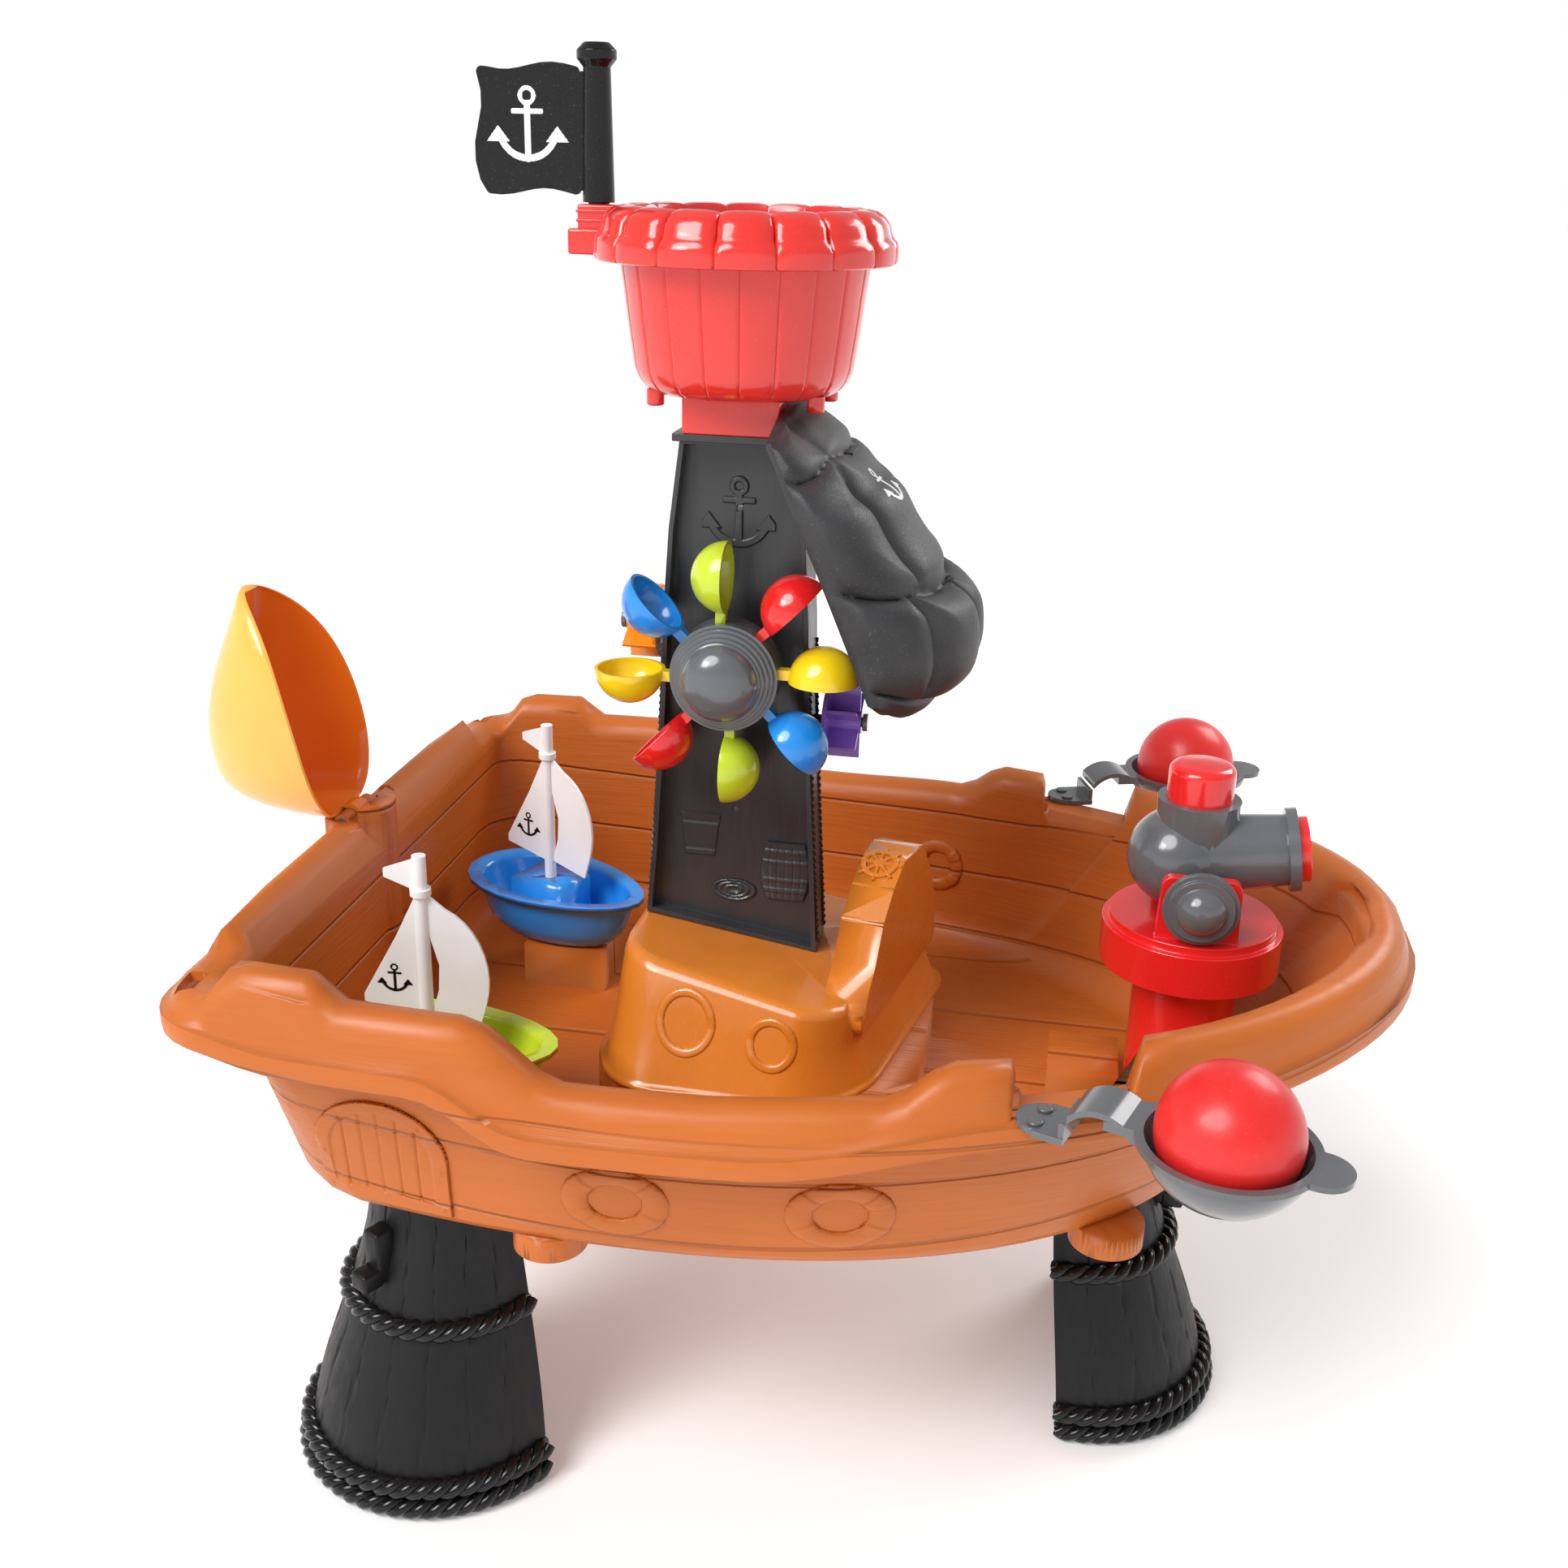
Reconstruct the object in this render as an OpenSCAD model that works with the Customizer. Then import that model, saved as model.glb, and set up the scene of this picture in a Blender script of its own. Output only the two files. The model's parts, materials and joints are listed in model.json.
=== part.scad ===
// Ship-shaped sand and water play table.
// Millimetres. X points to the bow, Y to the far side, Z up.
// The origin lies on the floor, at the middle of the whole footprint.

/* [Tub] */
// Half width of the tub over its outer lip
tub_half_w = 266; // [250:1:280]
// Bow end of the outer lip
bow_x = 382.5; // [375:0.5:390]
// Outer face of the flat stern
stern_x = -300; // [-305:1:-290]
// Where the tub is widest
wide_x = -70; // [-90:1:-50]
// Height of the outside of the tub's bottom
hull_z = 204; // [200:1:210]
// Thickness of the tub's floor
floor_t = 3; // [2:0.5:5]
// Lowest height of the rolled rim, amidships
rim_z = 317; // [310:1:325]

/* [Legs] */
// Radius of a leg's skirt at the floor
leg_foot_r = 83; // [78:1:88]
// Radius of a leg where it meets the tub
leg_top_r = 47; // [42:1:52]
// How far a leg's top leans in towards the middle
leg_lean = 14; // [8:1:18]
// Thickness of the leg shells
leg_t = 3; // [2:0.5:4]
// How far a leg's edges run straight on past its half circle
leg_lip = 11; // [8:1:14]
// Radius of the moulded rope rings
rope_r = 6.5; // [5:0.5:7]

/* [Tower] */
// Centre line of the tower, wheel and crow's nest
tower_x = -29.5; // [-32:0.5:-26]
// Depth of each half of the tower
tray_d = 16; // [14:1:18]
// Wall thickness of the tower halves
tray_t = 3; // [2:0.5:4]
// Height of the tower's top
tower_top = 610; // [600:1:620]
// Outer radius of the crow's nest ring
nest_r = 85; // [80:1:90]

/* [Water wheel] */
// Height of the water wheel's axle
wheel_z = 478.5; // [472:0.5:484]
// Distance from the axle to a cup's centre
cup_arm = 58; // [55:1:60]
// Outer radius of a cup
cup_r = 21; // [18:0.5:22]
// Radius of the axle pins
pin_r = 4; // [3:0.5:5]
// Running clearance round the pins
run_fit = 0.05; // [0.03:0.01:0.1]

/* [Cannon] */
// Centre line of the turret
turret_x = 254; // [250:1:258]
// Radius of the turret's flange
turret_r = 54; // [50:1:56]
// Height of the cannon's trunnion pins
trunnion_z = 361; // [358:1:364]
// Radius of the cannon's round breech
breech_r = 30; // [28:0.5:32]
// Travel of the pump button
button_travel = 8; // [5:1:8]

/* [Catapults] */
// Radius of a play ball
ball_r = 35; // [33:1:36]
// Centre of a catapult's cup along the tub
cup_x = 259; // [255:1:262]
// Centre of a catapult's cup, out from the middle
cup_y = 257; // [254:1:260]
// Turn of a catapult's arm out from the tub's length, degrees
arm_turn = -19; // [-22:1:-15]

/* [Hidden] */
$fn = 64;

floor_z = hull_z + floor_t;
// The rope of a leg's lowest ring rests on the floor
rope_rest = rope_r;
// Radius of the leg's rope rings at the floor
foot_rope_r = leg_foot_r + 0.5;
plinth_z = 236;
// Top of the blocks that the boats stand on
block_z = 238;
scoop_axis = [-287, 0, 352];
hub_y = -24;
paddle_z = 440;
spinner_z = 495;
breech_c = [241, 0, 374];
cannon_tilt = -9;
seat_z = rim_z + 1;

// ---------- shapes used by several parts ----------

// Rises smoothly from 0 to 1 while v goes from a to b
function ease(v, a, b) = let (t = min(1, max(0, (v - a) / (b - a)))) t * t * (3 - 2 * t);
function mix(a, b, t) = a * (1 - t) + b * t;

// Joins a stack of closed rings, each with the same number of points, into one solid.
// Rings run anticlockwise seen from above, from the lowest (or the outside) onwards.
module loft(rings) {
    n = len(rings[0]);
    k = len(rings);
    low_mid = [for (c = [0 : 2]) [for (p = rings[0]) p[c] / n] * [for (p = rings[0]) 1]];
    high_mid = [for (c = [0 : 2]) [for (p = rings[k - 1]) p[c] / n] * [for (p = rings[0]) 1]];
    points = concat([for (r = rings, p = r) p], [low_mid, high_mid]);
    sides = [for (i = [0 : k - 2], j = [0 : n - 1], h = [0, 1]) let (m = (j + 1) % n)
        h == 0 ? [i * n + j, (i + 1) * n + j, (i + 1) * n + m] : [i * n + j, (i + 1) * n + m, i * n + m]];
    caps = [for (j = [0 : n - 1], h = [0, 1]) let (m = (j + 1) % n)
        h == 0 ? [k * n, j, m] : [k * n + 1, (k - 1) * n + m, (k - 1) * n + j]];
    polyhedron(points, concat(sides, caps));
}

// The same for a thin wall, whose rings run out along the outside and back along the inside
module wall_loft(rings) {
    n = len(rings[0]);
    k = len(rings);
    points = [for (r = rings, p = r) p];
    sides = [for (i = [0 : k - 2], j = [0 : n - 1], h = [0, 1]) let (m = (j + 1) % n)
        h == 0 ? [i * n + j, (i + 1) * n + j, (i + 1) * n + m] : [i * n + j, (i + 1) * n + m, i * n + m]];
    caps = [for (j = [0 : n / 2 - 2], h = [0, 1], e = [0, 1]) let (a = [j, j + 1, n - 2 - j, n - 1 - j],
        b = e * (k - 1) * n, t = h == 0 ? [a[0], a[1], a[2]] : [a[0], a[2], a[3]])
        e == 0 ? [t[0] + b, t[1] + b, t[2] + b] : [t[2] + b, t[1] + b, t[0] + b]];
    polyhedron(points, concat(sides, caps));
}

// Stations along the tub, closest where the rim's height changes
aft_stations = [-240, -225, -206, -197, -188, -170, -150, -137, -124, -111, -97, -84, -70];
fore_stations = [-45, -20, 5, 30, 50, 70, 86, 95, 106, 117, 128, 142, 155.5, 162, 180, 200, 214.5, 221, 238,
    256, 274, 290, 304, 318, 331, 343, 353, 362, 369, 375, 379, 381.7];
// Half of a ship's plan, from the middle of the stern to the bow, seen from above
function half_plan(back, front, half_w, corner, power, aft_scale, fore_at, fore_scale) =
    let (c = min(corner, half_w - 30)) concat(
        [for (y = [0.05, 0.3, 0.6, 0.862, 0.892, 1]) [back, y * (half_w - 8 - c)]],
        [for (a = [75 : -15 : 0]) [back + c - c * sin(a), half_w - 8 - c + c * cos(a)]],
        [for (s = aft_stations) let (x = wide_x + (s - wide_x) * aft_scale)
            [x, half_w - 8 * pow((wide_x - x) / (wide_x - back - c), 2)]],
        [for (s = fore_stations) let (x = s < fore_at ? s : fore_at + (s - fore_at) * fore_scale)
            [x, half_w * sqrt(1 - pow((x - wide_x) / (front - wide_x), power))]]);
function full_plan(half) = concat([for (i = [len(half) - 1 : -1 : 0]) half[i]],
    [for (p = half) [p.x, -p.y]]);
// Outline of the rim, a distance in from the outer lip
function rim_plan(in) = full_plan(half_plan(stern_x + in, bow_x - in, tub_half_w - in,
    40 - 0.6 * in, 2.12, 1, 300, (bow_x - in - 300) / (bow_x - 300)));
// Outline of the tub's bottom, a distance in from its outer edge
function floor_plan(in) = full_plan(half_plan(-268 + in, 285 - in, 226 - in, 90 - in, 2.3,
    (4 - 178 - wide_x) / (-240 - wide_x), wide_x, (285 - in - wide_x) / (bow_x - wide_x)));

// Height of the lip's lower edge along the tub
function lip_z(x) = rim_z - 33 + 27 * ease(-x, 85, 145) + 9 * ease(-x, 220, 280)
    + 20 * ease(x, 30, 165) + 15 * ease(x, 200, 386);
// Height of the rim's crest at a point of the plan
function crest_z(x, y) = rim_z + 4 * ease(x, 0, 90) + 20 * ease(x, 95, 128)
    - 22 * ease(x, 156, 162) + 28 * ease(x, 215, 221) + 7 * ease(x, 224, 386)
    + 32 * ease(-x, 70, 122) + 14 * ease(-x, 188, 206) - 19 * ease(-x, 246, 266)
    + 13 * ease(-x, 268, 276) * (1 - ease(abs(y), 181, 187));

// A moulded rope round a leg, with short straight ends
module ring_rope(r, z, lean, tube = rope_r) {
    translate([-lean, 0, z]) {
        rotate([0, 0, -90]) rotate_extrude(angle = 180, $fn = 72) translate([r, 0]) circle(tube, $fn = 20);
        for (s = [-1, 1]) translate([0, s * r, 0]) rotate([0, -90, 0])
            cylinder(h = leg_lip, r = tube, $fn = 20);
    }
}

// ---------- tub ----------

// A ring between the outline of the bottom and that of the rim
function wall_ring(in_low, in_rim, t, z) = let (a = floor_plan(in_low), b = rim_plan(in_rim))
    [for (i = [0 : len(a) - 1]) let (p = mix(a[i], b[i], t)) [p.x, p.y, z]];
// A ring of the rim, part way up from the lip to the crest
function rim_ring(in, up, drop = 0) = [for (p = rim_plan(in))
    let (s = lip_z(p.x) + 13) [p.x, p.y, mix(s, max(s + 0.4, crest_z(p.x, p.y)), up) - drop]];
function lip_ring(in, up) = [for (p = rim_plan(in)) [p.x, p.y, lip_z(p.x) + up]];
// The inner edge of the rim steps outwards at the bow
function inner_ring(in, drop) = [for (p = rim_plan(in))
    let (s = 12 * ease(p.x, 300, 320) * (1 - ease(abs(p.y), 38, 41)))
        [p.x + s, p.y, crest_z(p.x, p.y) - drop]];

module tub_shell() {
    loft([wall_ring(10, 0, 0, hull_z + 0.3), wall_ring(3, 0, 0, hull_z + 2), wall_ring(0, 0, 0, hull_z + 8),
        lip_ring(33, 3), rim_ring(33, 0.8, 6),
        rim_ring(24, 0.9, 4), rim_ring(15, 0.82, 4), rim_ring(7, 0.2, 3), lip_ring(4, 8),
        lip_ring(3.5, 0), lip_ring(0.5, 0), lip_ring(0, 2), lip_ring(0, 11.5),
        lip_ring(3.5, 12.6), rim_ring(6, 0.35), rim_ring(9, 0.72), rim_ring(14, 0.94), rim_ring(20, 1),
        rim_ring(28, 1, 1.5), inner_ring(34, 6), inner_ring(37, 14),
        wall_ring(3, 37, 0.12, floor_z + 22), wall_ring(9, 37, 0, floor_z + 8),
        wall_ring(17, 37, 0, floor_z + 2), wall_ring(28, 37, 0, floor_z - 0.3)]);
    // flat floor, outside and inside
    translate([0, 0, hull_z]) linear_extrude(1) polygon(floor_plan(9.5));
    translate([0, 0, floor_z - 1]) linear_extrude(1) polygon(floor_plan(20));
}

module rounded_block(size, r, place) {
    translate(place) linear_extrude(size.z) offset(r, $fn = 32)
        square([size.x - 2 * r, size.y - 2 * r], center = true);
}

module tub() {
    color("chocolate") difference() {
        union() {
            difference() {
                union() {
                    tub_shell();
                    // rounded boss that holds the scoop
                    translate([-284, 0, floor_z + 60]) cylinder(h = 95, r = 24);
                }
                // the stern is low where the scoop tips over it
                translate([-330, -40, 353]) cube([55, 80, 30]);
                translate([-330, -40, 250]) cube([29.5, 80, 130]);
            }
            // knuckles round the scoop's pin
            for (s = [-1, 1]) translate([scoop_axis.x, s * 13.8, scoop_axis.z]) rotate([90, 0, 0])
                cylinder(h = 12.4, r = 5.4, center = true);
            // plinth for the deck house
            rounded_block([200, 184, plinth_z - floor_z + 1], 40, [-3, -9, floor_z - 1]);
            // blocks that the boats stand on
            translate([-194, 58, floor_z - 1]) cube([58, 62, block_z - floor_z + 1]);
            translate([-200, -172, floor_z - 1]) cube([58, 60, block_z - floor_z + 1]);
            // block in front of the turret's post
            translate([175, -28, floor_z - 1]) cube([44, 56, 25]);
            // bosses under the tub
            for (p = [[-91, -205], [215, -136], [-91, 205], [215, 136]])
                translate([p.x, p.y, hull_z - 13]) cylinder(h = 14, r = 21);
        }
        // the blocks are hollow underneath
        rounded_block([194, 178, plinth_z - hull_z - 2], 37, [-3, -9, hull_z - 1]);
        translate([-191, 61, hull_z - 1]) cube([52, 56, block_z - hull_z - 2]);
        translate([-197, -169, hull_z - 1]) cube([52, 54, block_z - hull_z - 2]);
        translate([178, -25, hull_z - 1]) cube([38, 50, 25]);
        // slot for the scoop's lug, and its pin
        translate([-304, -7.5, 322]) cube([31, 15, 60]);
        translate([scoop_axis.x, 0, scoop_axis.z]) rotate([90, 0, 0])
            cylinder(h = 40, r = pin_r - 1 - run_fit, center = true);
        // pockets in the stern corners
        for (s = [-1, 1]) translate([-287, s * 226 - 9, 330]) cube([12, 18, 30]);
        // flat seats of the catapults
        for (s = [-1, 1]) translate([158, s * 222 - 40, seat_z - 0.2]) cube([58, 80, 20]);
    }
}

// ---------- legs ----------

function leg_r(z) = leg_top_r + (leg_foot_r - leg_top_r) * (1 - ease(z, 0, 190));
function leg_in(z) = leg_lean * ease(z, -20, 165);
// A half ring of the leg's shell, bulging towards +X
function leg_ring(z) = let (r = leg_r(z), c = -leg_in(z), t = leg_t) concat(
    [[c - leg_lip, -r, z]], [for (a = [-90 : 7.5 : 90]) [c + r * cos(a), r * sin(a), z]],
    [[c - leg_lip, r, z], [c - leg_lip, r - t, z]],
    [for (a = [90 : -7.5 : -90]) [c + (r - t) * cos(a), (r - t) * sin(a), z]], [[c - leg_lip, t - r, z]]);

module leg_body() {
    top = hull_z - 0.2;
    difference() {
        union() {
            wall_loft([for (z = [0, 24, 50, 75, 100, 125, 150, 175, top - 4]) leg_ring(z)]);
            // half-round top plate, with the pegs that hold the tub
            translate([-leg_in(190), 0, top - 5]) rotate([0, 0, -90])
                rotate_extrude(angle = 180) square([leg_top_r - 0.5, 5]);
            // moulded rope rings
            ring_rope(foot_rope_r, rope_rest, 0);
            ring_rope(foot_rope_r - 0.4, rope_rest + 2 * rope_r - 0.6, leg_in(19));
            ring_rope(leg_r(110) + 0.5, 110, leg_in(110));
            // cleat
            translate([leg_r(150) - leg_in(150) - 3, -6, 132]) cube([13, 12, 34]);
            translate([leg_r(140) - leg_in(140) + 4, -7, 130]) cube([14, 14, 12]);
        }
        // screw holes through the top plate
        for (y = [-26, 26]) translate([10, y, top - 10]) cylinder(h = 20, r = 2);
    }
}

module placed_leg(spot, turn) {
    color("#1b1b1d") translate([spot.x, spot.y, 0]) rotate([0, 0, turn]) leg_body();
}

bow_leg_spot = [212, 0];
near_leg_spot = [-185, -148];
far_leg_spot = [-185, 148];
module bow_leg() { placed_leg(bow_leg_spot, 0); }
module near_leg() { placed_leg(near_leg_spot, -120); }
module far_leg() { placed_leg(far_leg_spot, 120); }

module leg_screws() {
    color("silver") for (leg = [[bow_leg_spot, 0], [near_leg_spot, -120], [far_leg_spot, 120]])
        translate([leg[0].x, leg[0].y, 0]) rotate([0, 0, leg[1]]) for (y = [-26, 26])
            translate([10, y, hull_z - 8.2]) {
                cylinder(h = 3, r = 4);
                cylinder(h = 9, r = 1.95);
            }
}

// ---------- deck house ----------

// The deck slopes down towards the bow
function deck_z(x) = 309 - 0.151 * (x + 88);
// Four rounded corners of the house, anticlockwise from the near stern one: centre, radius, first
// and last angle; k goes from 0 at the flange to 1 at the deck
function house_corners(k) = [
    [mix(-57, -60, k), mix(-72, -46, k), mix(40, 28, k), 180, 270],
    [mix(15, 25, k), mix(-52, -64, k), mix(60, 30, k), 270, 349],
    [mix(74, 63, k), mix(66, 56, k), mix(25, 18, k), 349, 450],
    [mix(-67, -64, k), mix(66, 56, k), mix(30, 22, k), 450, 540]];
function house_ring(k, in, z, up = -1) = [for (c = house_corners(k), i = [0 : 6])
    let (a = mix(c[3], c[4], i / 6), x = c.x + (c.z - in) * cos(a), y = c.y + (c.z - in) * sin(a))
        [x, y, up < 0 ? z : mix(z, deck_z(x), up)]];

module deck_house() {
    color("darkorange") {
        difference() {
            loft([house_ring(0, -1, plinth_z + 0.2), house_ring(0, -1, plinth_z + 3.5),
                house_ring(0.05, 2, plinth_z + 4.5), house_ring(0.6, 1, plinth_z, 0.6),
                house_ring(0.88, 0, plinth_z, 0.9), house_ring(1, 0.5, plinth_z, 0.98),
                house_ring(1, 6, plinth_z, 1)]);
            loft([house_ring(0, 5, plinth_z - 1), house_ring(0.05, 6, plinth_z + 5),
                house_ring(0.6, 4.5, plinth_z - 4, 0.6), house_ring(0.95, 4.5, plinth_z - 4, 0.95),
                house_ring(1, 9, plinth_z - 4, 0.995)]);
        }
        // helm wall along the bow side
        translate([65, 4, 0]) rotate([0, 0, -11]) rotate([90, 0, 90]) linear_extrude(27, center = true)
            offset(9, $fn = 32) polygon([[-70, 276], [-64, 282], [-48, 300], [-36, 322], [-20, 336],
                [0, 346], [14, 348], [30, 343], [48, 322], [60, 300], [66, 276]]);
    }
}

// ---------- tower ----------

function tower_half_w(z) = z > 532 ? mix(43.8, 34, (z - 532) / 78)
    : mix(57, 43.8, ease(z, 150, 532) * 1.25 - 0.25);
tower_low = 296;
// Outline of a tower half, seen from the near side
function tower_outline(in) =
    let (zs = [for (i = [0 : 6]) tower_low + in + i * (tower_top - tower_low - 2 * in) / 6]) concat(
        [for (z = zs) [tower_x + tower_half_w(z) - in, z == zs[0] ? deck_z(tower_x + 57) + 0.4 + in : z]],
        [for (i = [6 : -1 : 0]) [tower_x - tower_half_w(zs[i]) + in,
            i == 0 ? deck_z(tower_x - 57) + 0.4 + in : zs[i]]]);

module tray() {
    difference() {
        rotate([90, 0, 0]) linear_extrude(tray_d) polygon(tower_outline(0));
        translate([0, -tray_t - 3, 0]) rotate([90, 0, 0])
            linear_extrude(tray_d) polygon(tower_outline(tray_t));
    }
}

module tower_front() {
    color("#3b3c3f") difference() {
        translate([0, -0.15, 0]) tray();
        translate([tower_x, 0, wheel_z]) rotate([90, 0, 0]) cylinder(h = 40, r = pin_r, center = true);
        for (z = [380, 570]) translate([tower_x, 0, z]) rotate([90, 0, 0])
            cylinder(h = 40, r = 2, center = true);
    }
}

module tower_back() {
    color("#3b3c3f") difference() {
        mirror([0, 1, 0]) tray();
        // seats of the side pins
        for (p = [[bow_side, paddle_z], [stern_side, spinner_z]]) translate([p[0], side_y, p[1]])
            rotate([0, 90, 0]) cylinder(h = 40, r = pin_r - 1, center = true);
        translate([tower_x, 0, wheel_z]) rotate([90, 0, 0]) cylinder(h = 40, r = pin_r, center = true);
        for (z = [380, 570]) translate([tower_x, 0, z]) rotate([90, 0, 0])
            cylinder(h = 40, r = 2, center = true);
    }
}

module tower_collar() {
    color("#3b3c3f") difference() {
        translate([tower_x - 36, -27, tower_top + 0.1]) cube([72, 54, 4.5]);
        translate([tower_x, 0, tower_top - 1]) cylinder(h = 8, r = 8);
    }
}

// ---------- sail ----------

// Middle of the billowing front, seen from the side, from the hem up
sail_front = [[74, 457], [82, 459], [97, 470], [109, 487], [112, 503], [108, 522], [92, 536], [87, 545],
    [77, 555], [69, 566], [60, 581], [48, 590], [40, 601], [32, 611], [20, 620], [7, 628], [1, 633]];
// Side edges of the sail, swept back: along, out and up
function sail_side(t) = [mix(-1, 62, pow(t, 0.9)), mix(58, 82, ease(t, -0.3, 0.3)), mix(619, 478, t)];
// One ring of the moulding, from edge to edge round the front and back again
function sail_ring(c, thick) = let (t = (633 - c.y) / 176, s = sail_side(t), b = max(5, c.x - s.x)) concat(
    [for (a = [-90 : 12 : 90]) let (k = pow(cos(a), 0.85))
        [s.x + b * k, s.y * sin(a), mix(s.z, c.y, pow(cos(a), 1.6))]],
    [for (a = [90 : -12 : -90]) let (k = pow(cos(a), 0.85))
        [s.x - 3 + (b - thick + 3) * k, (s.y - 4) * sin(a), mix(s.z, c.y, pow(cos(a), 1.6)) - (1 - t) * 3]]);

module sail() {
    color("#202022") {
        wall_loft([for (c = sail_front) sail_ring(c, 7)]);
        // clips that hook the sail to the tower's bow side
        translate([tower_x + 35.8, -10, 597]) cube([30, 20, 9]);
    }
}

// ---------- crow's nest ----------

module nest_bucket() {
    color("crimson") difference() {
        union() {
            translate([tower_x, 0, 0]) rotate_extrude($fn = 96) polygon([
                [8, tower_top + 26], [48, tower_top + 26],
                [57, tower_top + 30], [62.5, tower_top + 40], [70, tower_top + 96], [70, tower_top + 104],
                [67.5, tower_top + 104], [67.5, tower_top + 96], [60, tower_top + 41],
                [55.5, tower_top + 32.5], [48, tower_top + 29], [8, tower_top + 29]]);
            translate([tower_x - 30, -28, tower_top + 4.6]) cube([56, 56, 22]);
        }
        translate([tower_x, 0, tower_top]) cylinder(h = 60, r = 8);
        translate([tower_x - 27, -25, tower_top + 4]) cube([50, 50, 19.5]);
    }
}

lobes = 16;
// One ring of the scalloped collar
function lobe_ring(r, z, depth) = [for (i = [0 : 4 * lobes - 1])
    let (a = 360 * i / (4 * lobes), k = r - depth * (i % 4 == 0 ? 1 : i % 4 == 2 ? 0 : 0.18))
        [tower_x + k * cos(a), k * sin(a), z]];

module nest_rim() {
    z0 = tower_top + 97.5;
    color("crimson") {
        difference() {
            union() {
                loft([lobe_ring(nest_r - 1, z0, 0.8), lobe_ring(nest_r, z0 + 2, 1),
                    lobe_ring(nest_r, z0 + 10, 1.2), lobe_ring(nest_r - 4, z0 + 14, 3),
                    lobe_ring(nest_r - 5, z0 + 21, 4), lobe_ring(nest_r - 10, z0 + 27, 5),
                    lobe_ring(nest_r - 17, z0 + 29, 3)]);
                // block that holds the flagpole
                translate([-129, -13, z0 + 1]) cube([26, 26, 14]);
                translate([-124, -10, z0 + 14]) cube([22, 20, 14]);
            }
            translate([tower_x, 0, z0 - 1]) cylinder(h = 40, r = 61);
            translate([tower_x, 0, z0 - 1]) cylinder(h = 14, r = 70.3);
            translate([flag_x, 0, z0 + 5]) cylinder(h = 40, r = 6.05);
        }
    }
}

flag_x = -114;

module flag_pole() {
    color("#151516") translate([flag_x, 0, 0]) difference() {
        union() {
            translate([0, 0, tower_top + 103]) cylinder(h = 30, r = 6);
            translate([0, 0, tower_top + 126.3]) cylinder(h = 70, r1 = 9, r2 = 7.6);
            translate([0, 0, tower_top + 196]) cylinder(h = 4, r1 = 7.6, r2 = 11);
            translate([0, 0, tower_top + 200]) cylinder(h = 4.5, r = 11);
            translate([0, 0, tower_top + 204.5]) cylinder(h = 4, r1 = 11, r2 = 7);
        }
        // slot that grips the flag
        translate([-20, -1.5, 742]) cube([16, 3, 62]);
    }
}

module flag_plate() {
    color("#151516") translate([flag_x, 0, 0]) rotate([90, 0, 0]) linear_extrude(2.98, center = true) {
        offset(3, $fn = 32) polygon(concat([for (i = [0 : 8]) [-13 - i * 6.2, 803.5 + 2 * sin(i * 42)]],
            [for (i = [0 : 6]) [-66 + 2.5 * sin(i * 60), 803 - i * 9.2]],
            [for (i = [8 : -1 : 0]) [-13 - i * 6.2, 744 + 2 * sin(i * 42 - 30)]]));
        translate([-14, 742.2]) square([9.8, 61.6]);
    }
}

// ---------- water wheel ----------

module wheel_axle() {
    color("dimgray") translate([tower_x, 0, wheel_z]) rotate([90, 0, 0]) {
        translate([0, 0, -10]) cylinder(h = 58, r = pin_r - run_fit);
        translate([0, 0, -10.7]) cylinder(h = 4.5, r = 7);
    }
}

module wheel_hub() {
    color("gray") translate([tower_x, hub_y, wheel_z]) rotate([90, 0, 0]) difference() {
        union() {
            cylinder(h = 5, r = 26);
            translate([0, 0, 5]) cylinder(h = 20, r = 32);
        }
        translate([0, 0, -1]) cylinder(h = 40, r = pin_r);
        for (i = [0 : 7]) rotate([0, 0, 45 * i]) translate([24, -0.1, 11.9]) cube([10, 6.2, 9.2]);
    }
}

module hub_cap() {
    color("gray") translate([tower_x, hub_y - 25.1, wheel_z]) rotate([90, 0, 0]) difference() {
        union() {
            cylinder(h = 2.5, r = 30);
            translate([0, 0, 2.5]) cylinder(h = 2.5, r = 28);
            intersection() {
                translate([0, 0, -2]) sphere(26);
                translate([-30, -30, 5]) cube([60, 60, 40]);
            }
        }
        translate([0, 0, -1]) cylinder(h = 4, r = pin_r + 1);
    }
}

// One cup on its stem, turned to its place round the hub; it opens clockwise
module wheel_cup(place, tint) {
    color(tint) translate([tower_x, hub_y - 16.5, wheel_z]) rotate([0, 45 * place, 0]) {
        translate([0, 0, cup_arm]) difference() {
            sphere(cup_r);
            sphere(cup_r - 2);
            translate([0, -cup_r - 1, -cup_r - 1]) cube([50, 2 * cup_r + 2, 2 * cup_r + 2]);
        }
        translate([-6, -3.5, 24.4]) cube([5.9, 7, cup_arm - cup_r - 23.2]);
    }
}

module cup_lime_a() { wheel_cup(0, "yellowgreen"); }
module cup_red_a() { wheel_cup(1, "crimson"); }
module cup_yellow_a() { wheel_cup(2, "gold"); }
module cup_blue_a() { wheel_cup(3, "dodgerblue"); }
module cup_lime_b() { wheel_cup(4, "yellowgreen"); }
module cup_red_b() { wheel_cup(5, "crimson"); }
module cup_yellow_b() { wheel_cup(6, "gold"); }
module cup_blue_b() { wheel_cup(7, "dodgerblue"); }

// ---------- paddle wheels on the tower's sides ----------

// A bladed wheel whose axle points along +X from the tower's side
module paddles(blades) {
    rotate([0, 90, 0]) difference() {
        union() {
            cylinder(h = 2.5, r = 22);
            cylinder(h = 22, r = 7);
            for (i = [0 : blades - 1]) rotate([0, 0, 360 / blades * i])
                translate([5, -1, 0]) cube([18, 2, 21]);
        }
        translate([0, 0, -1]) cylinder(h = 40, r = pin_r - 1);
    }
}

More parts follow.
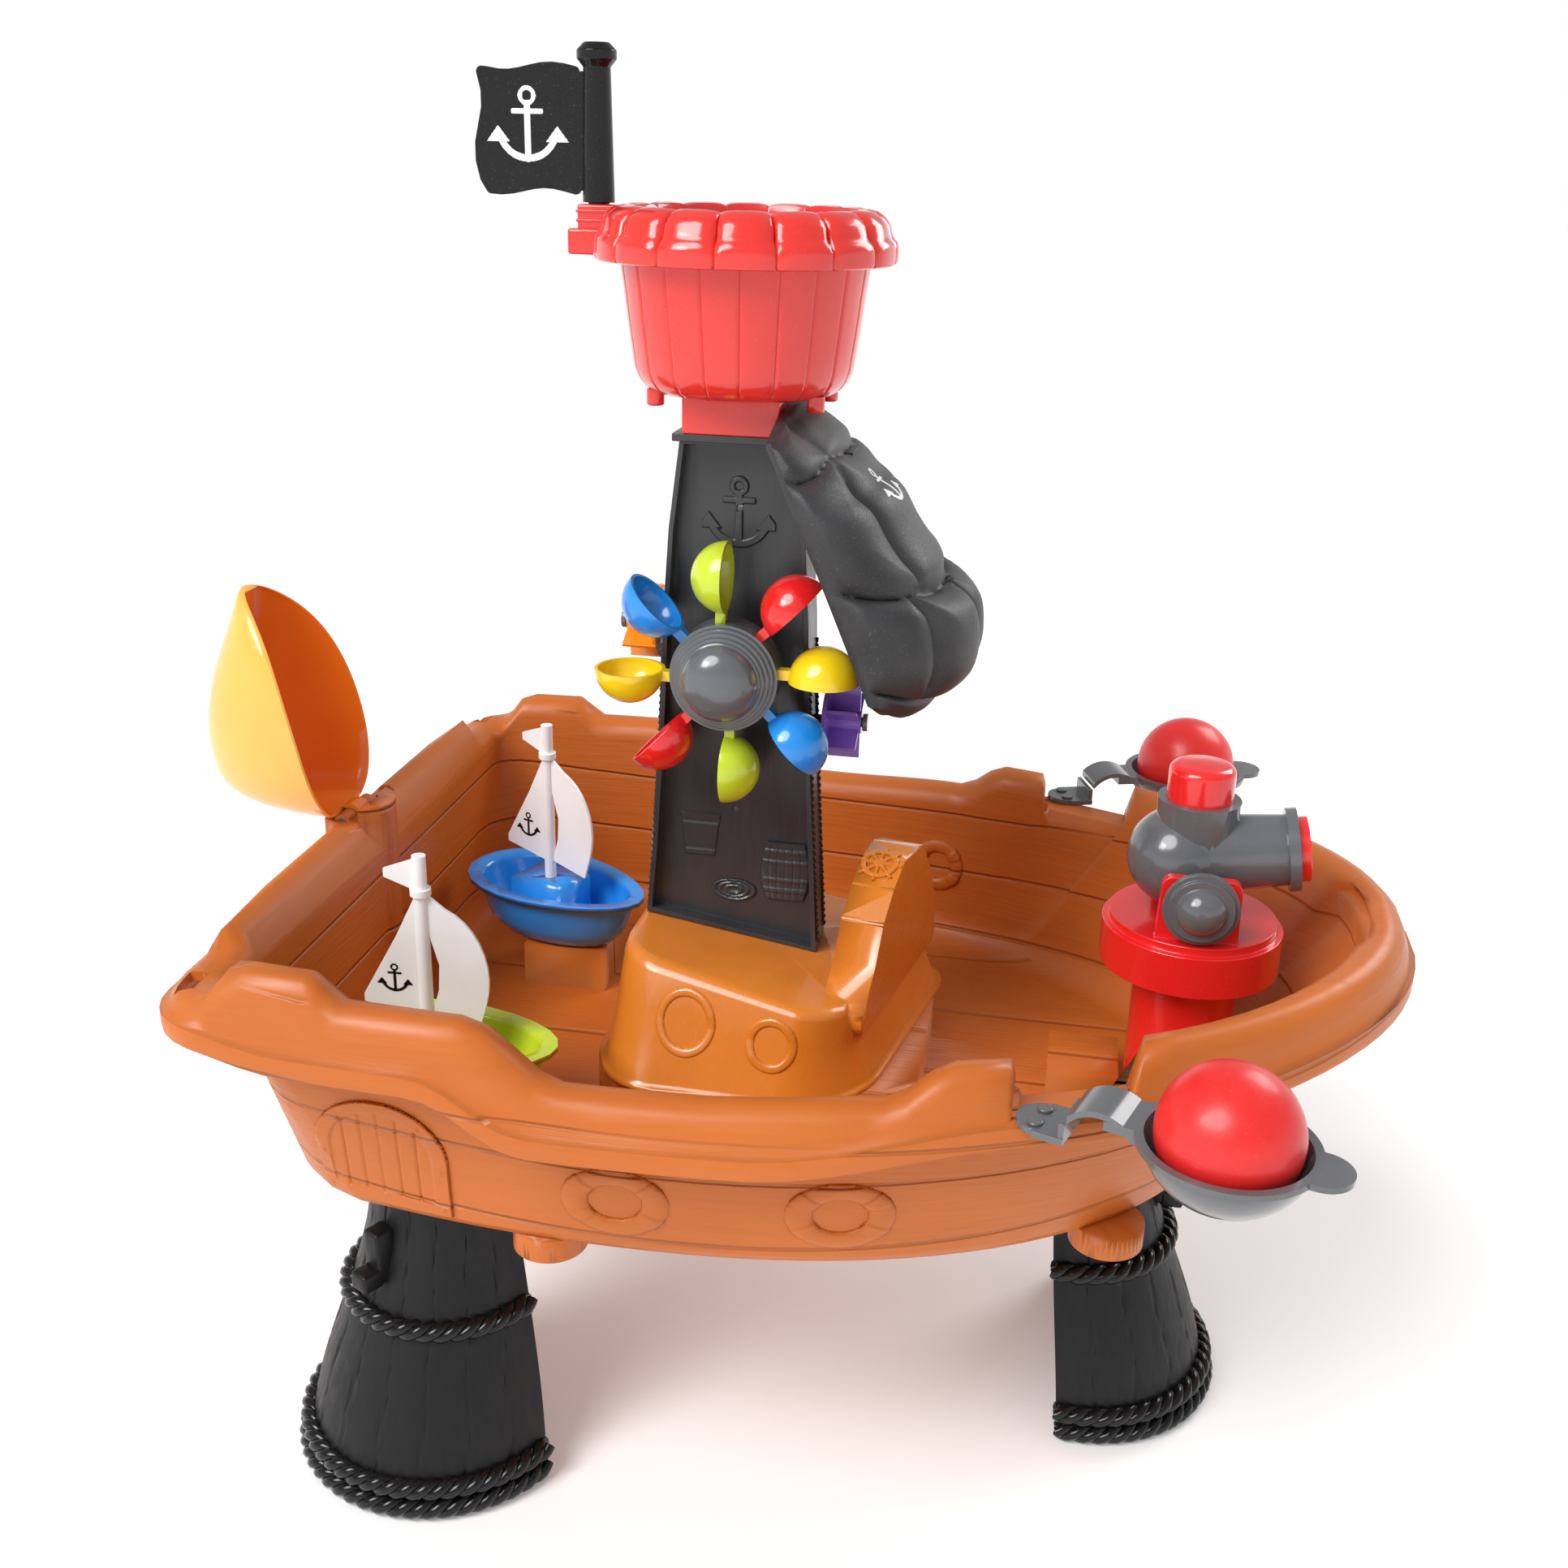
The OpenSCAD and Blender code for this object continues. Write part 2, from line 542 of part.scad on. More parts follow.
module side_pin() {
    rotate([0, 90, 0]) {
        translate([0, 0, -8]) cylinder(h = 32.5, r = pin_r - 1 - run_fit);
        translate([0, 0, 24]) cylinder(h = 3, r = 5.5);
    }
}

// The pins stand in the side walls of the tower's far half, behind the cups
side_y = 6.5;
bow_side = tower_x + 52;
stern_side = tower_x - 48;
module paddle_axle() { color("dimgray") translate([bow_side, side_y, paddle_z]) side_pin(); }
module paddle_wheel() { color("mediumpurple") translate([bow_side + 1.2, side_y, paddle_z]) paddles(6); }
module spinner_axle() {
    color("dimgray") translate([stern_side, side_y, spinner_z]) mirror([1, 0, 0]) side_pin();
}
module spinner_wheel() {
    color("orange") translate([stern_side - 1.2, side_y, spinner_z]) mirror([1, 0, 0]) paddles(6);
}

// ---------- scoop ----------

// The scoop is an egg-shaped bowl; these follow its outline at a height
scoop_low = 353;
scoop_tip = 500.5;
// Half width of the opening
function scoop_w(z) = 49.2 * (z < 416 ? pow(1 - pow((416 - z) / 64, 2.5), 0.4)
    : sqrt(1 - pow((z - 416) / 84.5, 2)));
// How far the bowl reaches back from the opening
function scoop_d(z) = z < 354.9 ? 18 : 84.5 * (z < 391 ? pow(1 - pow((392 - z) / 38, 4), 0.35)
    : pow(1 - pow((z - 390) / 111, 1.75), 0.85));
// The opening stands upright at first, then leans back
function scoop_x(z) = let (u = max(0, (z - 365) / 135)) -293 - 15.5 * u - 25 * pow(u, 2.2) - 16 * pow(u, 8);
function scoop_ring(z, wall) = concat(
    [for (a = [0 : 15 : 180]) [scoop_x(z) - (scoop_d(z) - wall) * sin(a), (scoop_w(z) - wall) * cos(a), z]],
    wall > 0 ? [[scoop_x(z) + 9, wall - scoop_w(z), z], [scoop_x(z) + 9, scoop_w(z) - wall, z]] : []);

module scoop() {
    color("orange") difference() {
        union() {
            loft([for (z = [353, 355, 357, 361, 367, 375, 385, 398, 414, 431, 448, 463, 476, 486, 493, 497.5])
                scoop_ring(z, 0)]);
            // lug that stands in the stern's slot
            translate([scoop_axis.x - 16, -7, scoop_axis.z - 5]) cube([16, 14, 10]);
            translate([scoop_axis.x, 0, scoop_axis.z]) rotate([90, 0, 0])
                cylinder(h = 14, r = 8, center = true);
        }
        loft([for (z = [357.6, 361, 367, 375, 385, 398, 414, 431, 448, 463, 476, 486, 494])
            scoop_ring(z, 2.7)]);
        translate([scoop_axis.x, 0, scoop_axis.z]) rotate([90, 0, 0])
            cylinder(h = 44, r = pin_r - 1, center = true);
    }
}

module scoop_pin() {
    color("dimgray") translate([scoop_axis.x, 0, scoop_axis.z]) rotate([90, 0, 0])
        cylinder(h = 40, r = pin_r - 1 - run_fit, center = true);
}

// ---------- water cannon ----------

module turret_post() {
    color("red") translate([turret_x, 0, 0]) difference() {
        union() {
            translate([0, 0, floor_z + 0.1]) cylinder(h = 101.7, r = 31.5);
            translate([0, 0, floor_z + 96]) cylinder(h = 24, r = 15);
        }
        translate([0, 0, floor_z - 1]) cylinder(h = 95, r = 28.5);
        translate([0, 0, floor_z + 50]) cylinder(h = 90, r = 6);
        // the foot slopes where the tub's floor rises to the bow
        translate([-11, -40, floor_z]) rotate([0, -29.5, 0]) translate([0, 0, -50]) cube([80, 80, 50]);
    }
}

module turret() {
    base = 306;
    color("red") translate([turret_x, 0, 0]) difference() {
        union() {
            translate([0, 0, base]) cylinder(h = 26, r = turret_r);
            translate([0, 0, base + 26]) cylinder(h = 5, r = turret_r - 4);
            // forks on both sides
            for (s = [-1, 1]) translate([0, s * 36.5, 0]) rotate([90, 0, 0])
                linear_extrude(7, center = true) offset(6, $fn = 32)
                    polygon([[-18, base + 30], [18, base + 30], [17, 370], [-17, 370]]);
        }
        translate([0, 0, base - 1]) cylinder(h = 25, r = 15.05);
        translate([0, 0, base - 1]) cylinder(h = 22, r = turret_r - 3);
        translate([0, 0, base]) cylinder(h = 40, r = 6);
        // trunnion seats, open at the top
        for (s = [-1, 1]) translate([0, s * 36.5, trunnion_z]) rotate([90, 0, 0])
            cylinder(h = 12, r = 9.05, center = true);
        translate([-9.05, -45, trunnion_z]) cube([18.1, 90, 30]);
        // room for the breech
        translate([breech_c.x - turret_x, 0, breech_c.z]) sphere(breech_r + 3);
        translate([-60, -32.5, base + 31.2]) cube([120, 65, 80]);
    }
    // collar that carries the turret on the post
    color("red") translate([turret_x, 0, base + 3]) difference() {
        cylinder(h = 22, r = 19);
        translate([0, 0, -1]) cylinder(h = 24, r = 15.05);
    }
}

// The cannon's own frame: breech at the origin, barrel along +X
module at_cannon() { translate(breech_c) rotate([0, cannon_tilt, 0]) children(); }

module cannon_body() {
    color("slategray") difference() {
        union() {
            at_cannon() sphere(breech_r);
            at_cannon() rotate([0, 90, 0]) cylinder(h = 66, r1 = 25, r2 = 21);
            at_cannon() translate([63, 0, 0]) rotate([0, 90, 0]) cylinder(h = 6.5, r = 25);
            translate([breech_c.x + 9, 0, breech_c.z]) cylinder(h = 38, r1 = 22, r2 = 24.5);
            // trunnion pins
            translate([turret_x, 0, trunnion_z]) rotate([90, 0, 0]) cylinder(h = 90, r = 9, center = true);
        }
        // well of the pump
        translate([breech_c.x + 9, 0, breech_c.z - 12]) cylinder(h = 70, r = 19.6);
        // bore of the muzzle plug
        at_cannon() translate([30, 0, 0]) rotate([0, 90, 0]) cylinder(h = 60, r = 8);
    }
}

module trunnion_knobs() {
    color("slategray") for (s = [-1, 1]) difference() {
        translate([turret_x, s * 45.1, trunnion_z]) rotate([s * -90, 0, 0]) {
            cylinder(h = 4, r = 22);
            translate([0, 0, 4]) cylinder(h = 3, r = 19);
            intersection() {
                translate([0, 0, 2]) sphere(15.5);
                translate([-20, -20, 7]) cube(40);
            }
        }
        translate([turret_x, s * 45.1, trunnion_z]) rotate([90, 0, 0]) cylinder(h = 1, r = 3, center = true);
    }
}

module muzzle_plug() {
    color("red") at_cannon() translate([69.6, 0, 0]) rotate([0, 90, 0]) difference() {
        union() {
            cylinder(h = 6, r = 19.5);
            translate([0, 0, -22]) cylinder(h = 22.1, r = 7.9);
        }
        translate([0, 0, -30]) cylinder(h = 50, r = 1.5);
    }
}

pump_x = breech_c.x + 9;
module pump_button() {
    color("red") translate([pump_x, 0, 0]) {
        translate([0, 0, 402]) cylinder(h = 28, r = 19.5);
        translate([0, 0, 430]) cylinder(h = 5, r1 = 19.5, r2 = 13);
        translate([0, 0, 367 + button_travel]) cylinder(h = 35 - button_travel, r = 4.5);
    }
}

// Coil spring round the plunger, drawn as a stack of closed turns
module pump_spring() {
    color("silver") translate([pump_x, 0, 0]) for (i = [0 : 5])
        translate([0, 0, 381.2 + 3.92 * i]) rotate_extrude() translate([8, 0]) circle(0.95, $fn = 16);
}

module pump_cylinder() {
    color("ivory") translate([pump_x, 0, 362.2]) difference() {
        cylinder(h = 18, r = 11);
        translate([0, 0, 3]) cylinder(h = 30, r = 4.6);
    }
}

// ---------- catapults and balls ----------

// Frame of one catapult: cup at the origin, arm along -X
module at_catapult(side) {
    if (side < 0) translate([cup_x, -cup_y, 0]) rotate([0, 0, arm_turn]) children();
    else mirror([0, 1, 0]) translate([cup_x, -cup_y, 0]) rotate([0, 0, arm_turn]) children();
}

cup_rim_z = 338;
foot_x = -84;
hinge_x = -68;
module catapult_foot() {
    difference() {
        union() {
            translate([foot_x - 7, -15, seat_z]) cube([16, 30, 3.4]);
            translate([foot_x - 7, 0, seat_z]) cylinder(h = 3.4, r = 13);
            translate([foot_x + 6, -14, seat_z + 3.3]) cube([3, 28, 8]);
        }
        for (y = [-7, 7]) translate([foot_x - 8, y, seat_z - 1]) cylinder(h = 10, r = 2);
    }
}
module near_catapult_foot() { color("slategray") at_catapult(-1) catapult_foot(); }
module far_catapult_foot() { color("slategray") at_catapult(1) catapult_foot(); }

module catapult_screws() {
    color("slategray") for (s = [-1, 1]) at_catapult(s) for (y = [-7, 7])
        translate([foot_x - 8, y, seat_z + 3.5]) {
            cylinder(h = 1.6, r = 4);
            translate([0, 0, -3]) cylinder(h = 3.5, r = 1.95);
        }
}

module catapult_arm() {
    // arch of the arm, seen from the side
    difference() {
        rotate([90, 0, 0]) linear_extrude(28, center = true) difference() {
            translate([-58, 319]) circle(22.5);
            translate([-58, 319]) circle(19.5);
            translate([-120, 250]) square([140, 80]);
            translate([-74.2, 250]) mirror([1, 0]) square([40, 140]);
        }
        translate([0, 0, 300]) cylinder(h = 60, r = 41);
    }
    // cup
    difference() {
        union() {
            translate([0, 0, cup_rim_z + 8]) sphere(42.5);
            translate([0, 0, cup_rim_z - 3]) cylinder(h = 3, r = 43.5);
            // tab that a finger presses
            translate([36, -15, cup_rim_z - 3.2]) cube([8, 30, 3.2]);
            translate([43, 0, cup_rim_z - 3.2]) cylinder(h = 3.2, r = 15);
            translate([-56, -14, cup_rim_z - 5]) cube([18, 28, 5]);
        }
        translate([0, 0, cup_rim_z + 9]) sphere(40);
        translate([-60, -60, cup_rim_z]) cube([120, 120, 60]);
    }
}
module near_catapult_arm() { color("slategray") at_catapult(-1) catapult_arm(); }
module far_catapult_arm() { color("slategray") at_catapult(1) catapult_arm(); }
// A hollow ball with a tiny air hole underneath
module play_ball() {
    difference() {
        sphere(ball_r, $fn = 96);
        sphere(ball_r - 1.6);
        translate([0, 0, -ball_r - 1]) cylinder(h = 5, r = 1, $fn = 24);
    }
}
module near_ball() { color("red") translate([cup_x, -cup_y, cup_rim_z + 9.05 - 40 + ball_r]) play_ball(); }
module far_ball() { color("red") translate([cup_x, cup_y, cup_rim_z + 9.05 - 40 + ball_r]) play_ball(); }

// ---------- boats ----------

function boat_plan(l, w) = [for (a = [0 : 15 : 345])
    [l / 2 * cos(a), w / 2 * sin(a) * (1 - 0.18 * cos(a))]];
function boat_ring(l, w, z) = [for (p = boat_plan(l, w)) [p.x, p.y, z]];

module boat_hull() {
    difference() {
        loft([boat_ring(64, 32, 0), boat_ring(90, 50, 3), boat_ring(112, 64, 14), boat_ring(122, 70, 28),
            boat_ring(126, 72, 37), boat_ring(142, 86, 38), boat_ring(142, 86, 41)]);
        loft([boat_ring(60, 30, 3.5), boat_ring(106, 58, 15), boat_ring(120, 67, 37), boat_ring(124, 69, 42)]);
    }
    // cabin
    difference() {
        translate([-28, -17, 2]) cube([44, 34, 40]);
        translate([mast_x, 0, 12]) cylinder(h = 40, r = 4.05);
    }
}

mast_x = -6;
module boat_sail() {
    translate([mast_x, 0, 12.2]) {
        cylinder(h = 143, r = 4);
        translate([0, 0, 119]) cylinder(h = 4, r = 6);
    }
    translate([mast_x, 0, 0]) rotate([90, 0, 0]) linear_extrude(2, center = true) {
        // stern panel
        polygon([[-3, 131], [-16, 104], [-37, 66], [-37, 61], [-3, 54]]);
        // bow panel, bellied outwards, with a curved slit next to the mast
        polygon(concat([[2, 133]], [for (a = [70 : -10 : -20]) [1 + 37 * cos(a), 80 + 46 * sin(a)]],
            [[31, 48], [3, 55], [8, 72], [9, 88], [3, 110]]));
        // pennant
        polygon([[-3, 153], [-21, 146], [-21, 141], [-3, 134]]);
    }
}

module at_blue() { translate([-176, 82, block_z + 0.2]) rotate([0, 0, -21]) children(); }
module at_green() { translate([-175, -148, block_z + 0.2]) rotate([0, 0, 3]) children(); }
module blue_boat() { color("dodgerblue") at_blue() boat_hull(); }
module blue_boat_sail() { color("white") at_blue() boat_sail(); }
module green_boat() { color("yellowgreen") at_green() boat_hull(); }
module green_boat_sail() { color("white") at_green() boat_sail(); }

tub();
bow_leg();
near_leg();
far_leg();
leg_screws();
deck_house();
tower_front();
tower_back();
tower_collar();
sail();
nest_bucket();
nest_rim();
flag_pole();
flag_plate();
wheel_axle();
wheel_hub();
hub_cap();
cup_lime_a();
cup_red_a();
cup_yellow_a();
cup_blue_a();
cup_lime_b();
cup_red_b();
cup_yellow_b();
cup_blue_b();
paddle_axle();
paddle_wheel();
spinner_axle();
spinner_wheel();
scoop();
scoop_pin();
turret_post();
turret();
cannon_body();
trunnion_knobs();
muzzle_plug();
pump_button();
pump_spring();
pump_cylinder();
near_catapult_foot();
far_catapult_foot();
catapult_screws();
near_catapult_arm();
far_catapult_arm();
near_ball();
far_ball();
blue_boat();
blue_boat_sail();
green_boat();
green_boat_sail();
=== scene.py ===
import json
import math

import bmesh
import bpy
from mathutils import Matrix, Vector
from mathutils.bvhtree import BVHTree

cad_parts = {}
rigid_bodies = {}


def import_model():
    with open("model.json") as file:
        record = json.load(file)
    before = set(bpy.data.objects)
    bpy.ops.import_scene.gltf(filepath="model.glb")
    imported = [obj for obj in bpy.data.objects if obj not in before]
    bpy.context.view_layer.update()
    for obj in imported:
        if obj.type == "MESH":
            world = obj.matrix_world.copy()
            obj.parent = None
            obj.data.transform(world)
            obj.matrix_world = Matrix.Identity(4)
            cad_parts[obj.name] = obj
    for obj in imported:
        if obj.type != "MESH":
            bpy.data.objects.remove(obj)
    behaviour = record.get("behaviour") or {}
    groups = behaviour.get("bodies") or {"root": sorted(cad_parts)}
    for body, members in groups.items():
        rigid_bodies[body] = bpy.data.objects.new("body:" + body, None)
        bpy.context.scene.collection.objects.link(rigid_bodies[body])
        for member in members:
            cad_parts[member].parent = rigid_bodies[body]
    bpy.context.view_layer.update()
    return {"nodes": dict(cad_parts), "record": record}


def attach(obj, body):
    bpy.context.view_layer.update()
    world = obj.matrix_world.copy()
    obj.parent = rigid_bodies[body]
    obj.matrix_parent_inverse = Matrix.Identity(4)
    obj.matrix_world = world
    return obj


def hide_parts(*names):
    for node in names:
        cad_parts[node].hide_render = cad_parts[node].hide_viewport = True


for ob in list(bpy.data.objects):
    bpy.data.objects.remove(ob)
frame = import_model()
scene = bpy.context.scene
scene.view_settings.view_transform = "Standard"
BODY = {n: b for b, ns in frame["record"]["behaviour"]["bodies"].items() for n in ns}
MM = 0.001


# ---------- node helpers ----------

class Tree:
    """Short ways to add and join the nodes of one material."""

    def __init__(self, name):
        self.mat = bpy.data.materials.new(name)
        self.mat.use_nodes = True
        self.nt = self.mat.node_tree
        self.shader = self.nt.nodes["Principled BSDF"]
        self.place = self.add("ShaderNodeTexCoord").outputs["Object"]

    def add(self, kind, **values):
        node = self.nt.nodes.new(kind)
        for k, v in values.items():
            setattr(node, k, v)
        return node

    def put(self, socket, value):
        if isinstance(value, bpy.types.NodeSocket):
            self.nt.links.new(value, socket)
        else:
            socket.default_value = value

    def math(self, op, a, b=0.0):
        n = self.add("ShaderNodeMath", operation=op)
        for s, v in zip(n.inputs, (a, b)):
            self.put(s, v)
        return n.outputs[0]

    def scaled(self, scale):
        n = self.add("ShaderNodeMapping")
        self.put(n.inputs["Vector"], self.place)
        n.inputs["Scale"].default_value = scale
        return n.outputs[0]

    def noise(self, scale, detail, stretch=(1, 1, 1), warp=0.0):
        n = self.add("ShaderNodeTexNoise")
        self.put(n.inputs["Vector"], self.scaled(stretch))
        n.inputs["Scale"].default_value = scale
        n.inputs["Detail"].default_value = detail
        n.inputs["Distortion"].default_value = warp
        return n.outputs["Fac"]

    def ramp(self, value, low, high, to_low=0.0, to_high=1.0):
        n = self.add("ShaderNodeMapRange", interpolation_type="SMOOTHSTEP")
        for s, v in zip(n.inputs[:5], (value, low, high, to_low, to_high)):
            self.put(s, v)
        return n.outputs[0]

    def mix(self, fac, a, b):
        n = self.add("ShaderNodeMix", data_type="RGBA")
        self.put(n.inputs[0], fac)
        self.put(n.inputs[6], a)
        self.put(n.inputs[7], b)
        return n.outputs[2]

    def xyz(self, vector=None):
        n = self.add("ShaderNodeSeparateXYZ")
        self.put(n.inputs[0], vector or self.place)
        return n.outputs

    def normal(self):
        return self.add("ShaderNodeNewGeometry").outputs["Normal"]

    def bump(self, *layers):
        """Layers are (height, strength, distance), the finest last."""
        last = None
        for height, strength, distance in layers:
            n = self.add("ShaderNodeBump")
            n.inputs["Strength"].default_value = strength
            n.inputs["Distance"].default_value = distance
            self.put(n.inputs["Height"], height)
            if last is not None:
                self.put(n.inputs["Normal"], last)
            last = n.outputs[0]
        self.put(self.shader.inputs["Normal"], last)

    def finish(self, colour, rough, coat=0.0, coat_rough=0.1, subsurface=0.0):
        self.put(self.shader.inputs["Base Color"], colour)
        self.put(self.shader.inputs["Roughness"], rough)
        self.shader.inputs["Coat Weight"].default_value = coat
        self.shader.inputs["Coat Roughness"].default_value = coat_rough
        if subsurface:
            self.shader.inputs["Subsurface Weight"].default_value = subsurface
            self.shader.inputs["Subsurface Scale"].default_value = 0.006
        return self.mat


def shade(colour, k):
    """The same colour, k times as bright."""
    return tuple(min(1, c * k) for c in colour[:3]) + (1,)


def gloss(name, colour, rough, coat, subsurface=0.0, sheen=0.5):
    """Glossy moulded plastic: faint flow marks, fine specks of dust and fine scratches in the polish."""
    t = Tree(name)
    cloud = t.ramp(t.noise(14, 4), 0.3, 0.7)
    dust = t.ramp(t.noise(900, 2), 0.62, 0.78)
    tone = t.mix(cloud, shade(colour, 0.93), shade(colour, 1.05))
    tone = t.mix(t.math("MULTIPLY", dust, 0.06), tone, (0.8, 0.78, 0.75, 1))
    scratch = t.noise(260, 3, stretch=(1, 0.15, 0.6))
    r = t.ramp(scratch, 0.35, 0.75, rough * 0.92, rough * 1.12)
    t.bump((t.noise(30, 2), 0.05, 0.002), (scratch, 0.008, 0.0004))
    t.shader.inputs["Specular IOR Level"].default_value = sheen
    return t.finish(tone, r, coat, 0.08, subsurface)


def grained(name, colour, rough, along, streak, coat=0.0, sheen=0.5):
    """Matte moulded plastic with a wood grain that runs along an axis."""
    t = Tree(name)
    stretch = {"x": (9, 60, 60), "y": (60, 9, 60), "z": (60, 60, 9)}[along]
    grain = t.noise(9, 5, stretch=tuple(s / 10 for s in stretch), warp=0.6)
    fine = t.noise(42, 3, stretch=tuple(s / 10 for s in stretch))
    cloud = t.ramp(t.noise(7, 3), 0.3, 0.7)
    tone = t.mix(cloud, shade(colour, 0.9), shade(colour, 1.08))
    tone = t.mix(t.math("MULTIPLY", t.ramp(grain, 0.45, 0.7), streak), tone, shade(colour, 0.72))
    t.bump((grain, 0.35, 0.0012), (fine, 0.3, 0.0006), (t.noise(1500, 1), 0.12, 0.0002))
    r = t.ramp(fine, 0.3, 0.7, rough * 0.85, min(1, rough * 1.15))
    t.shader.inputs["Specular IOR Level"].default_value = sheen
    return t.finish(tone, r, coat, 0.25)


ORANGE_BROWN = (0.56, 0.140, 0.019)
MATS = {}


def tub_plastic():
    """Matte moulded plastic: planks and grain on the walls and floor, plain satin on the rolled rim."""
    t = Tree("tub_brown")
    x, y, z = t.xyz()
    n = t.xyz(t.normal())
    flat = t.ramp(t.math("ABSOLUTE", n[2]), 0.6, 0.8)
    rim = t.ramp(t.math("ABSOLUTE", n[2]), 0.25, 0.6)
    low = t.ramp(z, 0.300, 0.286)
    wall_grain = t.noise(7, 5, stretch=(1, 1, 12), warp=0.4)
    wall_fine = t.noise(30, 4, stretch=(1, 1, 14))
    floor_grain = t.noise(7, 5, stretch=(1, 12, 1), warp=0.4)
    floor_fine = t.noise(30, 4, stretch=(1, 14, 1))
    grain = t.math("ADD", t.math("MULTIPLY", wall_grain, t.math("SUBTRACT", 1.0, flat)),
                   t.math("MULTIPLY", floor_grain, flat))
    fine = t.math("ADD", t.math("MULTIPLY", wall_fine, t.math("SUBTRACT", 1.0, flat)),
                  t.math("MULTIPLY", floor_fine, flat))
    # the sheer of the planks follows the rim, which is highest at the stern and the bow
    sheer = t.math("MULTIPLY", t.math("MULTIPLY", x, x), 0.22)
    plank = t.math("DIVIDE", t.math("SUBTRACT", z, sheer), 0.0215)
    across = t.math("DIVIDE", y, 0.042)
    saw = t.math("ADD", t.math("MULTIPLY", t.math("PINGPONG", plank, 1.0), t.math("SUBTRACT", 1.0, flat)),
                 t.math("MULTIPLY", t.math("PINGPONG", across, 1.0), flat))
    seam = t.ramp(saw, 0.0, 0.085, 0.0, 1.0)
    in_seam = t.math("MULTIPLY", t.math("SUBTRACT", 1.0, seam),
                     t.math("MAXIMUM", t.math("SUBTRACT", 1.0, rim), low))
    cloud = t.ramp(t.noise(5, 3), 0.3, 0.7)
    tone = t.mix(cloud, shade(ORANGE_BROWN, 0.92), shade(ORANGE_BROWN, 1.06))
    tone = t.mix(t.math("MULTIPLY", t.ramp(grain, 0.45, 0.75), 0.22), tone, shade(ORANGE_BROWN, 0.74))
    tone = t.mix(t.math("MULTIPLY", in_seam, 0.3), tone, shade(ORANGE_BROWN, 0.5))
    smooth_rim = t.math("SUBTRACT", 1.0, t.math("MULTIPLY", rim, t.ramp(z, 0.29, 0.31)))
    t.bump((t.math("SUBTRACT", 1.0, in_seam), 0.9, 0.0016),
           (t.math("MULTIPLY", grain, smooth_rim), 0.42, 0.0014),
           (t.math("MULTIPLY", fine, smooth_rim), 0.42, 0.0008),
           (t.noise(1400, 1), 0.10, 0.0002))
    t.shader.inputs["Specular IOR Level"].default_value = 0.4
    return t.finish(tone, t.ramp(fine, 0.3, 0.7, 0.34, 0.46), 0.05, 0.3)


def scoop_plastic():
    """Translucent orange in two painted tones: pale and yellow on the outside as painted light coming through
    it, deep inside the bowl as painted shade.
    """
    t = Tree("scoop_orange")
    centre = t.add("ShaderNodeVectorMath", operation="SUBTRACT")
    t.put(centre.inputs[0], t.place)
    centre.inputs[1].default_value = (-0.300, 0, 0.405)
    facing = t.add("ShaderNodeVectorMath", operation="DOT_PRODUCT")
    t.put(facing.inputs[0], centre.outputs[0])
    t.put(facing.inputs[1], t.normal())
    outside = t.ramp(facing.outputs["Value"], -0.004, 0.012)
    cloud = t.ramp(t.noise(9, 3), 0.3, 0.7)
    # painted light: the outward faces get a pale lit tone, the faces inside the bowl a deep shaded tone
    painted_light_tone = t.mix(cloud, (1.0, 0.47, 0.075, 1), (1.0, 0.54, 0.11, 1))
    painted_shade_tone = t.mix(cloud, (0.86, 0.20, 0.012, 1), (0.92, 0.24, 0.020, 1))
    t.bump((t.noise(30, 2), 0.04, 0.002))
    polish = t.ramp(t.noise(200, 2), 0.3, 0.7, 0.18, 0.26)
    return t.finish(t.mix(outside, painted_shade_tone, painted_light_tone), polish, 0.4, 0.08, 0.1)


def satin_cloth():
    """Black moulded plastic with the fine weave and speckle of sailcloth."""
    t = Tree("sail_black")
    weave = t.noise(1300, 2)
    speck = t.ramp(t.noise(700, 1), 0.66, 0.74)
    tone = t.mix(t.ramp(t.noise(25, 4), 0.3, 0.7), (0.022, 0.022, 0.024, 1), (0.040, 0.040, 0.043, 1))
    tone = t.mix(t.math("MULTIPLY", speck, 0.25), tone, (0.16, 0.16, 0.17, 1))
    t.bump((t.noise(120, 3), 0.10, 0.001), (weave, 0.35, 0.0005))
    return t.finish(tone, t.ramp(weave, 0.3, 0.7, 0.42, 0.58), 0.05, 0.3)


def steel():
    """Drawn steel wire, rubbed along its length."""
    t = Tree("steel")
    t.shader.inputs["Metallic"].default_value = 1.0
    rub = t.noise(500, 3, stretch=(1, 1, 0.1))
    t.bump((rub, 0.08, 0.0003))
    tone = t.mix(rub, (0.55, 0.55, 0.56, 1), (0.78, 0.78, 0.79, 1))
    return t.finish(tone, t.ramp(rub, 0.3, 0.7, 0.2, 0.35))


MATS["tub_brown"] = tub_plastic()
MATS["black_matte"] = grained("black_matte", (0.008, 0.008, 0.009), 0.42, "z", 0.3, sheen=0.28)
MATS["tower_grey"] = grained("tower_grey", (0.038, 0.039, 0.043), 0.33, "z", 0.4, coat=0.2)
MATS["sail_black"] = satin_cloth()
MATS["scoop_orange"] = scoop_plastic()
MATS["steel"] = steel()
